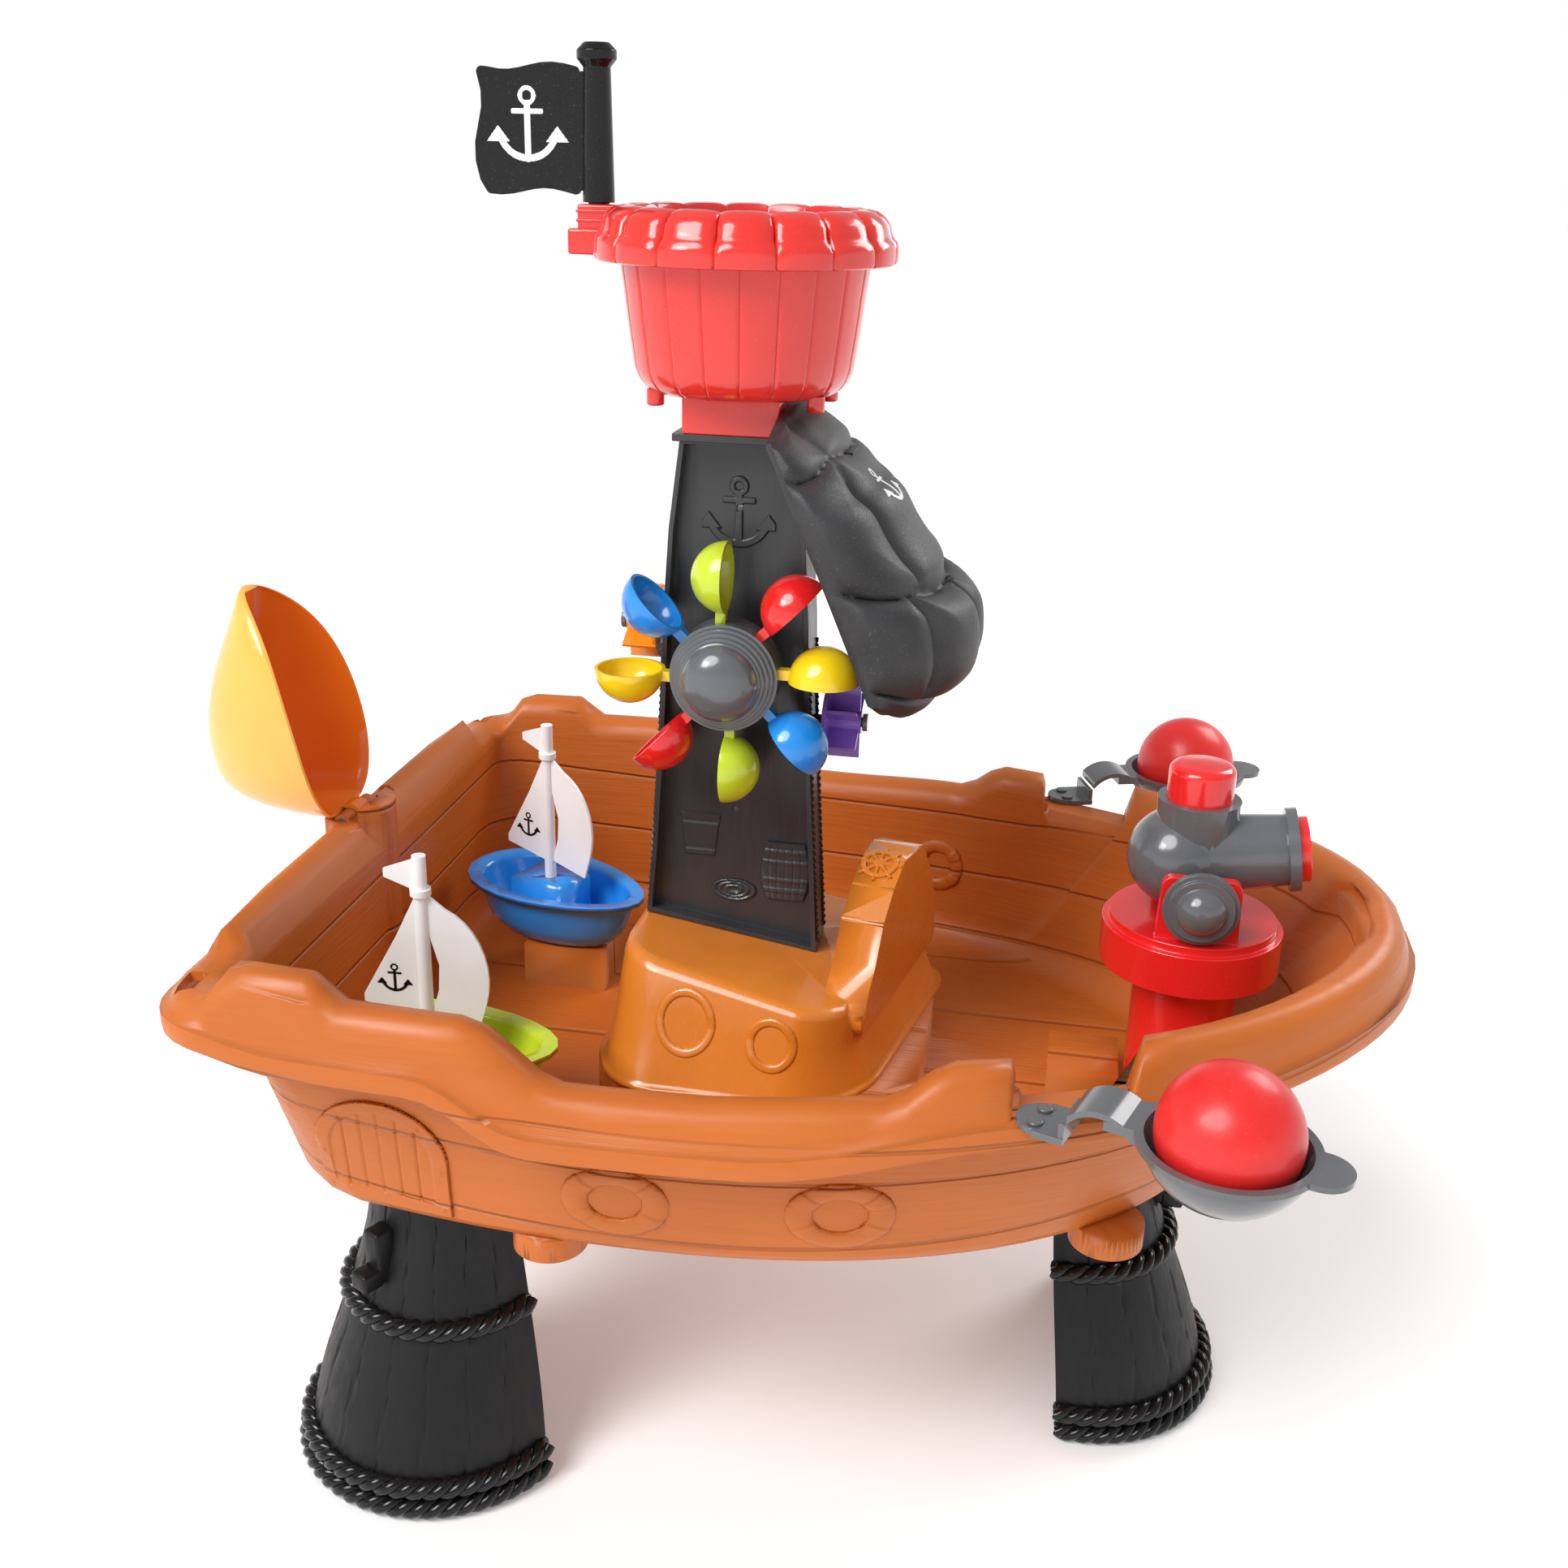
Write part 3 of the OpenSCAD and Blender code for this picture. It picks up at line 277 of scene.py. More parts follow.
# glossy plastics: colour, roughness, coat, light under the surface, and reflection where it isn't 0.5
PLASTICS = {
    "black_gloss": ((0.006, 0.006, 0.007), 0.16, 0.12, 0.0, 0.3),
    "grey_gloss": ((0.115, 0.121, 0.130), 0.2, 0.5),
    "red_gloss": ((0.84, 0.016, 0.016), 0.2, 0.6, 0.06),
    "coral_red": ((0.78, 0.030, 0.022), 0.2, 0.6, 0.08),
    "ball_red": ((0.78, 0.022, 0.020), 0.36, 0.1, 0.08),
    "house_orange": ((0.72, 0.215, 0.022), 0.26, 0.35),
    "orange": ((0.90, 0.28, 0.012), 0.22, 0.5, 0.15),
    "yellow": ((0.98, 0.66, 0.010), 0.2, 0.5, 0.1),
    "lime": ((0.56, 0.70, 0.030), 0.2, 0.5, 0.1),
    "blue": ((0.016, 0.27, 0.80), 0.2, 0.5, 0.06),
    "purple": ((0.26, 0.13, 0.62), 0.25, 0.4, 0.06),
    "ivory": ((0.70, 0.66, 0.55), 0.4, 0.1),
    "white": ((0.90, 0.90, 0.90), 0.35, 0.2, 0.1),
}
for name, look in PLASTICS.items():
    MATS[name] = gloss(name, *look)
SLOT = {s["node"]: s["material_slot"] for s in frame["record"]["subparts"]}


# ---------- mesh helpers ----------

def new_object(name, bm, mat, body, slot=None, smooth=40.0):
    """A piece of the picture: a mesh with a material, on a body; the slot argument is not used."""
    me = bpy.data.meshes.new(name)
    bm.to_mesh(me)
    bm.free()
    ob = bpy.data.objects.new(name, me)
    scene.collection.objects.link(ob)
    me.materials.clear()
    me.materials.append(MATS[mat])
    for p in me.polygons:
        p.material_index = 0
        p.use_smooth = True
    me.set_sharp_from_angle(angle=math.radians(smooth))
    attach(ob, body)
    slot or mat
    return ob


def clean_copy(node, dissolve):
    """A welded copy of a CAD node's mesh, with its flat faces whole again."""
    bm = bmesh.new()
    bm.from_mesh(frame["nodes"][node].data)
    bmesh.ops.remove_doubles(bm, verts=bm.verts, dist=4e-6)
    bmesh.ops.dissolve_degenerate(bm, edges=bm.edges, dist=2e-6)
    if dissolve:
        bmesh.ops.dissolve_limit(bm, angle_limit=math.radians(dissolve), verts=bm.verts, edges=bm.edges)
    for layer in list(bm.loops.layers.uv):
        bm.loops.layers.uv.remove(layer)
    return bm


def skin(node, bevel, angle=40.0, dissolve=0.4):
    """Stands for a CAD node: the same form with softened edges, as it comes from a mould."""
    ob = new_object(node + "_skin", clean_copy(node, dissolve), SLOT[node], BODY[node], smooth=angle)
    if bevel:
        m = ob.modifiers.new("edges", "BEVEL")
        m.width, m.segments = bevel, 2
        m.limit_method, m.angle_limit = "ANGLE", math.radians(angle)
        m.harden_normals = False
        m.use_clamp_overlap = True
    w = ob.modifiers.new("shading", "WEIGHTED_NORMAL")
    w.keep_sharp = True
    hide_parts(node)
    return ob


for node, ob in frame["nodes"].items():
    ob.data.materials.clear()
    ob.data.materials.append(MATS[SLOT[node]])
    for p in ob.data.polygons:
        p.material_index = 0

# nodes with curved walls, which keep their faces and get no bevel, each with its smoothing angle
FACETED = {"tub": 34, "deck_house": 34, "blue_boat": 40, "green_boat": 40}
UNBEVELLED = ("pump_spring", "near_ball", "far_ball", "cup_lime_a")
# nodes that are formed anew further down
REMADE = ("nest_bucket", "nest_rim", "bow_leg", "near_leg", "far_leg", "sail", "pump_button", "hub_cap",
          "scoop")
for node in frame["nodes"]:
    if node in REMADE:
        continue
    if node in FACETED:
        skin(node, 0.0, FACETED[node], 0.0)
    elif node in UNBEVELLED:
        skin(node, 0.0, 40)
    else:
        skin(node, 0.0005)


# ---------- reliefs moulded into a surface ----------

NO_SHEET = -0.6         # mm; a relief has no sheet where its height is lower than this
SUNK = -0.35            # mm; how far a relief's edge goes under the surface
RISES = -0.3            # mm; a face is kept where one of its corners stands higher than this


def surface(*nodes):
    """A ray-casting tree of CAD nodes, in millimetres."""
    verts, faces = [], []
    for node in nodes:
        me = frame["nodes"][node].data
        base = len(verts)
        verts += [v.co * 1000 for v in me.vertices]
        faces += [[base + i for i in p.vertices] for p in me.polygons]
    return BVHTree.FromPolygons(verts, faces)


def relief(name, mat, node, body, on, origin, u, v, size, height, step=0.8, back=30):
    """A sheet laid on a surface from a plane u by v: height(a, b) in mm, where -1 means no sheet."""
    u, v, origin = Vector(u).normalized(), Vector(v).normalized(), Vector(origin)
    w = u.cross(v)
    nu, nv = int(size[0] / step) + 1, int(size[1] / step) + 1
    bm = bmesh.new()
    grid, high = {}, {}
    for i in range(nu):
        for j in range(nv):
            a, b = (i / (nu - 1) - 0.5) * size[0], (j / (nv - 1) - 0.5) * size[1]
            h = height(a, b)
            if h < NO_SHEET:
                continue
            hit = on.ray_cast(origin + u * a + v * b + w * back, -w, back * 3)
            if hit[0] is not None:
                grid[i, j] = bm.verts.new((hit[0] + w * max(h, SUNK)) * MM)
                high[i, j] = h
    for (i, j) in grid:
        ring = [(i, j), (i + 1, j), (i + 1, j + 1), (i, j + 1)]
        if all(k in grid for k in ring) and max(high[k] for k in ring) > RISES:
            bm.faces.new([grid[k] for k in ring])
    bmesh.ops.delete(bm, geom=[x for x in bm.verts if not x.link_faces], context="VERTS")
    ob = new_object(name, bm, mat, body, SLOT.get(node, node), 50)
    m = ob.modifiers.new("back", "SOLIDIFY")
    m.thickness, m.offset = 0.0008, -1
    return ob


def step_up(d, edge=0.9):
    """1 inside a shape (d below 0), falling to 0 and on to -1 outside it."""
    return max(-1.0, min(1.0, -d / edge + 0.5))


def box_d(a, b, w, h, r=0.0):
    """Distance to a box that reaches w and h from its middle, with corners rounded to r."""
    x, y = abs(a) - w + r, abs(b) - h + r
    return math.hypot(max(x, 0), max(y, 0)) + min(max(x, y), 0) - r


def ring_d(a, b, r, half):
    """Distance to a flat ring of radius r, half of its width to each side."""
    return abs(math.hypot(a, b) - r) - half


def door(a, b):
    """An arched hatch with planks, a frame and rivets."""
    outline = box_d(a, b + 8, 40, 27) if b < 2 else math.hypot(a, b * 1.18 - 2) - 40
    if outline > 1:
        return -1
    h = 2.2 * step_up(outline)
    inner = outline + 9
    if inner < 0.6:
        h = 2.2 - 1.1 * step_up(inner)
        h -= 0.9 * max(0, 1 - abs((a + 5.5) % 11 - 5.5) / 1.1)
    for p, q in ((-35.5, -30), (35.5, -30), (-35.5, -4), (35.5, -4), (-24, 22), (24, 22)):
        h = max(h, 3.0 * step_up(math.hypot(a - p, b - q) - 1.7))
    return h


def life_ring(rx, rz):
    """A life ring with four bands round it."""
    def height(a, b):
        r = math.hypot(a / rx, b / rz)
        t = (r - 0.76) / 0.25
        if abs(t) > 1.15:
            return -1
        h = 2.6 * math.sqrt(max(0, 1 - t * t)) if abs(t) < 1 else 0.5 - abs(t) * 0.5 - 0.05
        turn = math.degrees(math.atan2(b / rz, a / rx))
        for c in (35, 145, -35, -145):
            if abs(turn - c) < 11:
                h += 0.7
        return h
    return height


def anchor(a, b, s=1.0):
    """Distance to a plain anchor, s times 40 mm tall."""
    a, b = a / s, b / s
    d = ring_d(a, b - 15.5, 3.6, 1.3)
    d = min(d, box_d(a, b - 0.5, 1.9, 13))
    d = min(d, box_d(a, b - 8.2, 8.5, 1.5, 0.8))
    if b < 0.5:
        d = min(d, ring_d(a, b - 1.5, 15.5, 1.9 if b < -2 else 1.9 - 0.8 * (b + 2)))
    for k in (-1, 1):
        x, y = a * k - 15.6, b + 2.0
        d = min(d, max(-y - 4.5, y + abs(x) * 1.25 - 3.8))
    return d * s


def barrel(a, b):
    """A barrel with four hoops and staves."""
    w = 15.5 - 3.2 * (b / 19) ** 2
    d = max(abs(a) - w, abs(b) - 19)
    if d > 1:
        return -1
    h = 1.0 + 1.6 * math.sqrt(max(0, 1 - (a / (w + 0.5)) ** 2)) if d < 0 else 0.5 * step_up(d)
    for c in (-13, -6, 6, 13):
        if abs(b - c) < 1.4:
            h += 0.7
    stave = abs((a / w * 3.0 + 0.5) % 1 - 0.5)
    return h - 0.5 * max(0, 1 - stave / 0.12) if d < 0 else h


def coil(a, b):
    """A coil of rope, seen from above at a slant."""
    r = math.hypot(a, b * 1.9)
    if r > 15:
        return -1
    return 0.3 + 1.3 * abs(math.sin(math.pi * (r - 3) / 4)) if r > 3 else 0.2


def ship_wheel(a, b):
    """A helm: a hub, a rim and eight spokes that run on past it."""
    r, turn = math.hypot(a, b), math.degrees(math.atan2(b, a))
    d = min(abs(r - 10.2) - 1.6, r - 3.2)
    k = abs((turn + 22.5) % 45 - 22.5)
    if r < 15:
        d = min(d, r * math.sin(math.radians(k)) - 0.95)
    else:
        d = min(d, r - 15 + r * math.sin(math.radians(k)))
    return 1.7 * step_up(d, 0.8) if d < 1 else -1


def frame_grid(w, h, bars):
    """A raised frame that reaches w and h from its middle, with bars across it."""
    def height(a, b):
        inside = box_d(a, b, w, h, 2) < 0
        d = -box_d(a, b, w - 3.5, h - 3.5) if inside else 2
        slat = abs((a + w) % (2 * w / bars) - w / bars) - w / bars + 1.6
        bar = step_up(-slat, 0.8) if inside and d > 0 else -1
        return max(step_up(d) * 1.4, bar, -1)
    return height


hull = surface("tub")
for side, word in ((-1, "near"), (1, "far")):
    relief("door_" + word, "tub_brown", "tub", "table", hull, (-181, side * 232, 246), (-side, 0, 0),
           (0, 0, 1), (92, 76), door)
    for k, (x, y, tilt) in enumerate(((-47, 228, -0.03), (73, 215, -0.22))):
        relief("life_ring_%s_%d" % (word, k), "tub_brown", "tub", "table", hull, (x, side * y, 239),
               (-side, -tilt, 0), (0, 0, 1), (66, 50), life_ring(29.5, 21.5))
    relief("inner_ring_" + word, "tub_brown", "tub", "table", hull, (82, side * 209, 262), (side, -0.24, 0),
           (0, 0, 1), (44, 44), life_ring(20, 19.5), back=12)
relief("floor_hatch", "tub_brown", "tub", "table", hull, (144, -52, 207), (1, 0, 0), (0, 1, 0), (58, 46),
       frame_grid(27, 21, 6))

house = surface("deck_house")


def porthole(r):
    """A plain round frame."""
    def height(a, b):
        d = ring_d(a, b, r - 2.2, 2.2)
        return 1.3 * step_up(d, 1.2) if d < 1.2 else -1
    return height


relief("porthole_0", "house_orange", "deck_house", "table", house, (-41, -95, 275), (1, 0, 0), (0, 0, 1),
       (42, 42), porthole(18.5))
relief("porthole_1", "house_orange", "deck_house", "table", house, (13, -99, 270), (1, 0, 0), (0, 0, 1),
       (36, 36), porthole(15.5))
relief("helm_wheel", "house_orange", "deck_house", "table", house, (62, -4, 352), (0.97, -0.19, 0.0),
       (0.17, 0.87, 0.46), (34, 34), ship_wheel, 0.5, 12)


# ---------- turned and lofted forms ----------

def lathe(name, mat, node, body, centre, profile, count, wobble=None, smooth=45, replaces=(), tip=None):
    """A turned form: profile is a closed line of (radius, height) in mm, and tip turns it off the Z axis."""
    bm = bmesh.new()
    rings = []
    for i in range(count):
        a = 2 * math.pi * i / count
        row = []
        for k, (r, z) in enumerate(profile):
            if wobble:
                r, z = wobble(a, k / len(profile), r, z)
            x, y = centre[0] + r * math.cos(a), centre[1] + r * math.sin(a)
            row.append(bm.verts.new((x * MM, y * MM, z * MM)))
        rings.append(row)
    n = len(profile)
    for i in range(count):
        p, q = rings[i], rings[(i + 1) % count]
        for k in range(n):
            m = (k + 1) % n
            bm.faces.new((p[k], q[k], q[m], p[m]))
    bmesh.ops.remove_doubles(bm, verts=bm.verts, dist=1e-6)
    bmesh.ops.recalc_face_normals(bm, faces=bm.faces)
    if tip:
        bmesh.ops.transform(bm, matrix=tip, verts=bm.verts)
    ob = new_object(name, bm, mat, body, SLOT[node], smooth)
    if replaces:
        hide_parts(*replaces)
    return ob


def square_to(path, i):
    """Two directions square to a path at its point i."""
    t = (path[min(i + 1, len(path) - 1)] - path[max(i - 1, 0)]).normalized()
    side = t.cross(Vector((0, 0, 1)))
    if side.length < 0.05:
        side = t.cross(Vector((1, 0, 0)))
    side.normalize()
    return side, side.cross(t)


def tube(bm, path, radius, sides):
    """Sweeps a round section along a path of points in mm."""
    rows = []
    for i, p in enumerate(path):
        side, upward = square_to(path, i)
        r = radius(i / (len(path) - 1)) if callable(radius) else radius
        row = []
        for k in range(sides):
            w = 2 * math.pi * k / sides
            row.append(bm.verts.new((p + side * (r * math.cos(w)) + upward * (r * math.sin(w))) * MM))
        rows.append(row)
    for p, q in zip(rows, rows[1:]):
        for k in range(sides):
            m = (k + 1) % sides
            bm.faces.new((p[k], q[k], q[m], p[m]))
    bm.faces.new(rows[0][::-1])
    bm.faces.new(rows[-1])


def strands(bm, path, radius, pitch, count=3, sides=8):
    """Twisted strands that follow a path, in mm."""
    length = 0
    lines = [[] for _ in range(count)]
    for i, p in enumerate(path):
        side, upward = square_to(path, i)
        if i:
            length += (p - path[i - 1]).length
        for s in range(count):
            w = 2 * math.pi * (length / pitch + s / count)
            lines[s].append(p + side * (radius * 0.5 * math.cos(w))
                            + upward * (radius * 0.5 * math.sin(w)))
    for line in lines:
        tube(bm, line, radius * 0.56, sides)


def finish_tubes(name, bm, mat, body, slot):
    """Makes an object of tubes and blocks that stand beside the CAD's nodes."""
    bmesh.ops.recalc_face_normals(bm, faces=bm.faces)
    return new_object(name, bm, mat, body, slot, 60)


# legs with staves, and twisted ropes round them: each leg's place and turn
LEGS = {"bow_leg": ((212, 0), 0), "near_leg": ((-185, -148), -120), "far_leg": ((-185, 148), 120)}
LEG_WALL = 3            # mm
LEG_BACK = -11          # mm; how far the sides run on behind the half round
LEG_LEVELS = [0, 1.5, 4] + [8 + 4 * i for i in range(47)] + [197.5, 199.5]
PLATE_R = 46.5          # mm; the top plate's radius
PLATE_X = -14           # mm; the top plate's middle, in the leg's own directions


def smooth_step(v, a, b):
    """0 below a, 1 above b, and an even curve between them."""
    t = min(1, max(0, (v - a) / (b - a)))
    return t * t * (3 - 2 * t)


def leg_r(z):
    """The leg's radius at a height; it flares towards the floor."""
    return 47 + 36 * (1 - smooth_step(z, 0, 190))


def leg_in(z):
    """How far the leg leans inwards at a height."""
    return 14 * smooth_step(z, -20, 165)


def leg_shell(bm, put):
    """A half round, open-backed leg with staves: closed rings, out along the outside and back inside."""
    rings = []
    for z in LEG_LEVELS:
        ring = []
        r, lean = leg_r(z) - (1.2 if z < 1 else 0), leg_in(z)
        for k in range(181):
            turn = math.radians(k - 90)
            stave = abs((k / 180 * 9 + 0.06 * math.sin(z * 0.11 + k)) % 1 - 0.5)
            bulge = r - 1.1 * max(0, 1 - stave / 0.05) + 0.12 * math.sin(z * 0.9 + k * 1.7)
            ring.append((bulge * math.cos(turn) - lean, bulge * math.sin(turn), z))
        ring += [(LEG_BACK - lean, r, z), (LEG_BACK - lean, r - LEG_WALL, z)]
        for k in range(180, -1, -1):
            turn = math.radians(k - 90)
            ring.append(((r - LEG_WALL) * math.cos(turn) - lean, (r - LEG_WALL) * math.sin(turn), z))
        ring += [(LEG_BACK - lean, LEG_WALL - r, z), (LEG_BACK - lean, -r, z)]
        rings.append([bm.verts.new(put(q)) for q in ring])
    n = len(rings[0])
    for low, high in zip(rings, rings[1:]):
        for k in range(n):
            m = (k + 1) % n
            bm.faces.new((low[k], low[m], high[m], high[k]))
    for ring, flip in ((rings[0], True), (rings[-1], False)):
        out = [ring[-1]] + ring[:182]
        back = [ring[-2]] + ring[182:-2][::-1]
        for k in range(len(out) - 1):
            f = (out[k], back[k], back[k + 1], out[k + 1])
            bm.faces.new(f[::-1] if flip else f)


def block(bm, put, low, high, bevel):
    """A box with rounded edges."""
    made = bmesh.ops.create_cube(bm, size=1)["verts"]
    for v in made:
        v.co = Vector([low[i] if v.co[i] < 0 else high[i] for i in range(3)])
    edges = list({e for v in made for e in v.link_edges})
    out = bmesh.ops.bevel(bm, geom=edges, offset=bevel, segments=3, profile=0.5, affect="EDGES")
    made = list({v for f in out["faces"] for v in f.verts} | {v for v in made if v.is_valid})
    for v in made:
        v.co = put(v.co)


for leg, ((lx, ly), turn) in LEGS.items():
    c, s = math.cos(math.radians(turn)), math.sin(math.radians(turn))

    def put(q):
        return Vector((lx + c * q[0] - s * q[1], ly + s * q[0] + c * q[1], q[2])) * MM

    bm = bmesh.new()
    leg_shell(bm, put)
    # top plate, a half round
    rows = []
    for z in (198.8, 203.8):
        rows.append([bm.verts.new(put((PLATE_R * math.sin(math.radians(k)) + PLATE_X,
                                       -PLATE_R * math.cos(math.radians(k)), z)))
                     for k in range(0, 181, 4)])
    bm.faces.new(rows[0][::-1])
    bm.faces.new(rows[1])
    for k in range(len(rows[0])):
        m = (k + 1) % len(rows[0])
        bm.faces.new((rows[0][k], rows[0][m], rows[1][m], rows[1][k]))
    # cleat: a base on the leg and a horn
    base, horn = leg_r(150) - leg_in(150), leg_r(140) - leg_in(140)
    block(bm, put, (base - 4, -6.5, 132), (base + 9.5, 6.5, 166), 2.2)
    block(bm, put, (horn + 3, -7, 130), (horn + 17.5, 7, 142), 2.2)
    bmesh.ops.recalc_face_normals(bm, faces=bm.faces)
    shell = new_object(leg + "_staves", bm, "black_matte", "table", "black_matte", 50)
    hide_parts(leg)
    bm = bmesh.new()
    for r, z, lean in ((83.5, 6.9, 0), (83.1, 19.3, leg_in(19)), (leg_r(110) + 0.5, 110, leg_in(110))):
        path = []
        for k in range(-8, 189, 2):
            if k < 0 or k > 180:
                out = (-k if k < 0 else k - 180) * 11 / 8
                x, y = -out, r * (-1 if k < 0 else 1)
            else:
                x, y = r * math.sin(math.radians(k)), -r * math.cos(math.radians(k))
            x -= lean
            path.append(Vector((lx + c * x - s * y, ly + s * x + c * y, z)))
        strands(bm, path, 6.6, 30)
    finish_tubes(leg + "_ropes", bm, "black_gloss", "table", "black_matte")

# crow's nest: a bucket with plank seams and a puffed collar
TOWER_X = -29.5         # the middle of the tower, under the crow's nest
PEG_R = 52              # how far from the nest's middle its pegs stand
profile = [(8, 636), (30, 636), (48, 636), (53, 637.4), (57, 640), (60.3, 644.5), (62.5, 650), (64.4, 663),
           (66.2, 676), (68.1, 692), (70, 706), (70, 714), (67.5, 714), (67.5, 706), (65.6, 692),
           (63.6, 676), (61.8, 663), (60, 651), (58, 645), (55.5, 642.2), (48, 639), (30, 639), (8, 639)]


def seams(a, k, r, z):
    """Pulls the bucket's outside in at the seams between its twenty planks."""
    if r > 45 and k < 0.5:
        w = abs((a * 20 / (2 * math.pi)) % 1 - 0.5)
        r -= 1.0 * max(0, 1 - w / 0.06) if w < 0.06 else 0
    return r, z


lathe("nest_bucket_ribbed", "coral_red", "nest_bucket", "table", (TOWER_X, 0), profile, 480, seams,
      replaces=("nest_bucket",))
collar = [(61, 708), (61, 722), (61.4, 734), (63, 736), (68, 736.5), (73, 735.4), (77, 732.5), (79.8, 729),
          (81, 724), (82.4, 721.3), (84.4, 719.6), (85, 716), (85, 711), (84.4, 708.2), (83, 707.5),
          (70.2, 707.5), (70.2, 708.2)]


def scallop(a, k, r, z):
    """Pulls the collar in between its sixteen puffs."""
    w = abs((a * 16 / (2 * math.pi)) % 1 - 0.5) * 2
    puff = math.sqrt(max(0, 1 - w ** 3.2))
    if r > 62:
        reach = min(1, (r - 62) / 20)
        r -= (1 - puff) * (1.4 + 3.6 * reach * (1 if z > 719 else 0.25))
        z -= (1 - puff) * 2.2 * (1 if z > 722 else 0)
    return r, z


lathe("nest_collar", "coral_red", "nest_rim", "table", (TOWER_X, 0), collar, 640, scallop,
      replaces=("nest_rim",))

# pegs under the bucket
bm = bmesh.new()
for a in (28, 152, 208, 332):
    x, y = TOWER_X + PEG_R * math.cos(math.radians(a)), PEG_R * math.sin(math.radians(a))
    tube(bm, [Vector((x, y, z)) for z in (629.5, 630.2, 634, 638.5)],
         lambda k: 4.2 if k < 0.1 else 5.0, 24)
finish_tubes("nest_pegs", bm, "coral_red", "table", "coral_red")


def plain(q):
    """A place in mm, as it is."""
    return Vector(q) * MM


bm = bmesh.new()
block(bm, plain, (TOWER_X - 30, -28, 614.7), (TOWER_X + 26, 28, 637.5), 1.0)
finish_tubes("nest_neck", bm, "coral_red", "table", "coral_red")
bm = bmesh.new()
block(bm, plain, (-129, -13, 708.7), (-99, 13, 722.5), 1.5)
block(bm, plain, (-124, -10, 721), (-98, 10, 735.4), 1.5)
for z in (726, 731):
    block(bm, plain, (-124.5, -10.6, z), (-98, 10.6, z + 1.6), 0.5)
finish_tubes("flag_block", bm, "coral_red", "table", "coral_red")

# ---------- pump button, hub cap and scoop ----------

PUMP_X = 250            # mm; the pump's axis
HUB = (-0.0295, -0.0491, 0.4785)        # m; the middle of the hub cap's back


def arc(middle, width, height, step):
    """A quarter of an ellipse, from its side up to its top: middle is (radius, height) in mm."""
    return [(middle[0] + width * math.cos(math.radians(a)), middle[1] + height * math.sin(math.radians(a)))
            for a in range(0, 91, step)]


cap = [(0, 375), (4.5, 375), (4.5, 402), (18.9, 402), (19.5, 402.6)] + arc((13.5, 428.5), 6, 5.2, 10)
lathe("button_cap", "red_gloss", "pump_button", BODY["pump_button"], (PUMP_X, 0),
      cap + [(9, 434.4), (5, 434.8), (0, 434.9)], 72, replaces=("pump_button",), smooth=35)
steps = [(0, 0), (29.4, 0), (30, 0.6), (30, 1.9), (29.4, 2.5), (28, 2.5), (28, 4.4), (27.4, 5), (25.8, 5),
         (25.8, 6.9), (25.2, 7.5), (23.8, 7.5), (23.8, 9), (23.2, 9.6)]
lathe("hub_dome", "grey_gloss", "hub_cap", BODY["hub_cap"], (0, 0), steps + arc((0, 9.8), 22.6, 14.1, 5), 96,
      replaces=("hub_cap",), smooth=35,
      tip=Matrix.Translation(HUB) @ Matrix.Rotation(math.radians(90), 4, "X"))


def scoop_row(z, wall):
    """One level of the egg-shaped bowl, from its near edge round the back to its far edge."""
    n = 36
    half = (1 - ((416 - z) / 64) ** 2.5) ** 0.4 if z < 416 else max(0, 1 - ((z - 416) / 84.5) ** 2) ** 0.5
    half = max(0.6, 49.2 * half - wall)
    if z < 391:
        back = (1 - ((392 - z) / 38) ** 4) ** 0.35
    else:
        back = max(0, 1 - ((z - 390) / 111) ** 1.75) ** 0.85
    back = max(0.6, (18 if z < 354.9 else 84.5 * back) - wall)
    u = max(0, (z - 365) / 135)
    front = -293 - 15.5 * u - 25 * u ** 2.2 - 16 * u ** 8
    return [Vector((front - back * math.sin(math.pi * i / n), -half * math.cos(math.pi * i / n), z))
            for i in range(n + 1)]


bm = bmesh.new()
sheets = []
for wall, low, high in ((0, 353, 500.4), (2.4, 357.4, 498.0)):
    levels = [low + (high - low) * (1 - math.cos(math.pi * i / 40)) / 2 for i in range(41)]
    sheets.append([[bm.verts.new(p * MM) for p in scoop_row(z, wall)] for z in levels])
for sheet in sheets:
    for a, b in zip(sheet, sheet[1:]):
        for j in range(len(a) - 1):
            bm.faces.new((a[j], b[j], b[j + 1], a[j + 1]))
    bm.faces.new(sheet[0])
    bm.faces.new(sheet[-1])
outer, inner = ([row[0] for row in sheet] + [row[-1] for row in reversed(sheet)] for sheet in sheets)
lip = [bm.verts.new((p.co + q.co) / 2 + Vector((0.0009, 0, 0))) for p, q in zip(outer, inner)]
for line, other in ((outer, lip), (lip, inner)):
    for j in range(len(line)):
        m = (j + 1) % len(line)
        bm.faces.new((line[j], line[m], other[m], other[j]))
bmesh.ops.recalc_face_normals(bm, faces=bm.faces)
pins = [v.co * 1000 for v in frame["nodes"]["scoop_pin"].data.vertices]
pin_x, pin_z = (sum(p[c] for p in pins) / len(pins) for c in (0, 2))
lug = bmesh.ops.create_cube(bm, size=1.0)["verts"]
for v in lug:
    v.co = Vector((pin_x - 8 + v.co.x * 16, v.co.y * 14, pin_z + v.co.z * 10)) * MM
across_pin = Matrix.Translation((pin_x * MM, 0, pin_z * MM)) @ Matrix.Rotation(math.radians(90), 4, "X")
bmesh.ops.create_cone(bm, cap_ends=True, segments=48, radius1=0.008, radius2=0.008, depth=0.014,
                      matrix=across_pin)
ob = new_object("scoop_bowl", bm, "scoop_orange", "tipping_scoop", "orange", 50)
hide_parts("scoop")

# ---------- tower reliefs and its rope edges ----------

def raised_anchor(a, b):
    """An anchor moulded into the tower."""
    d = anchor(a, b, 1.15)
    return 1.3 * step_up(d) if d < 1 else -1


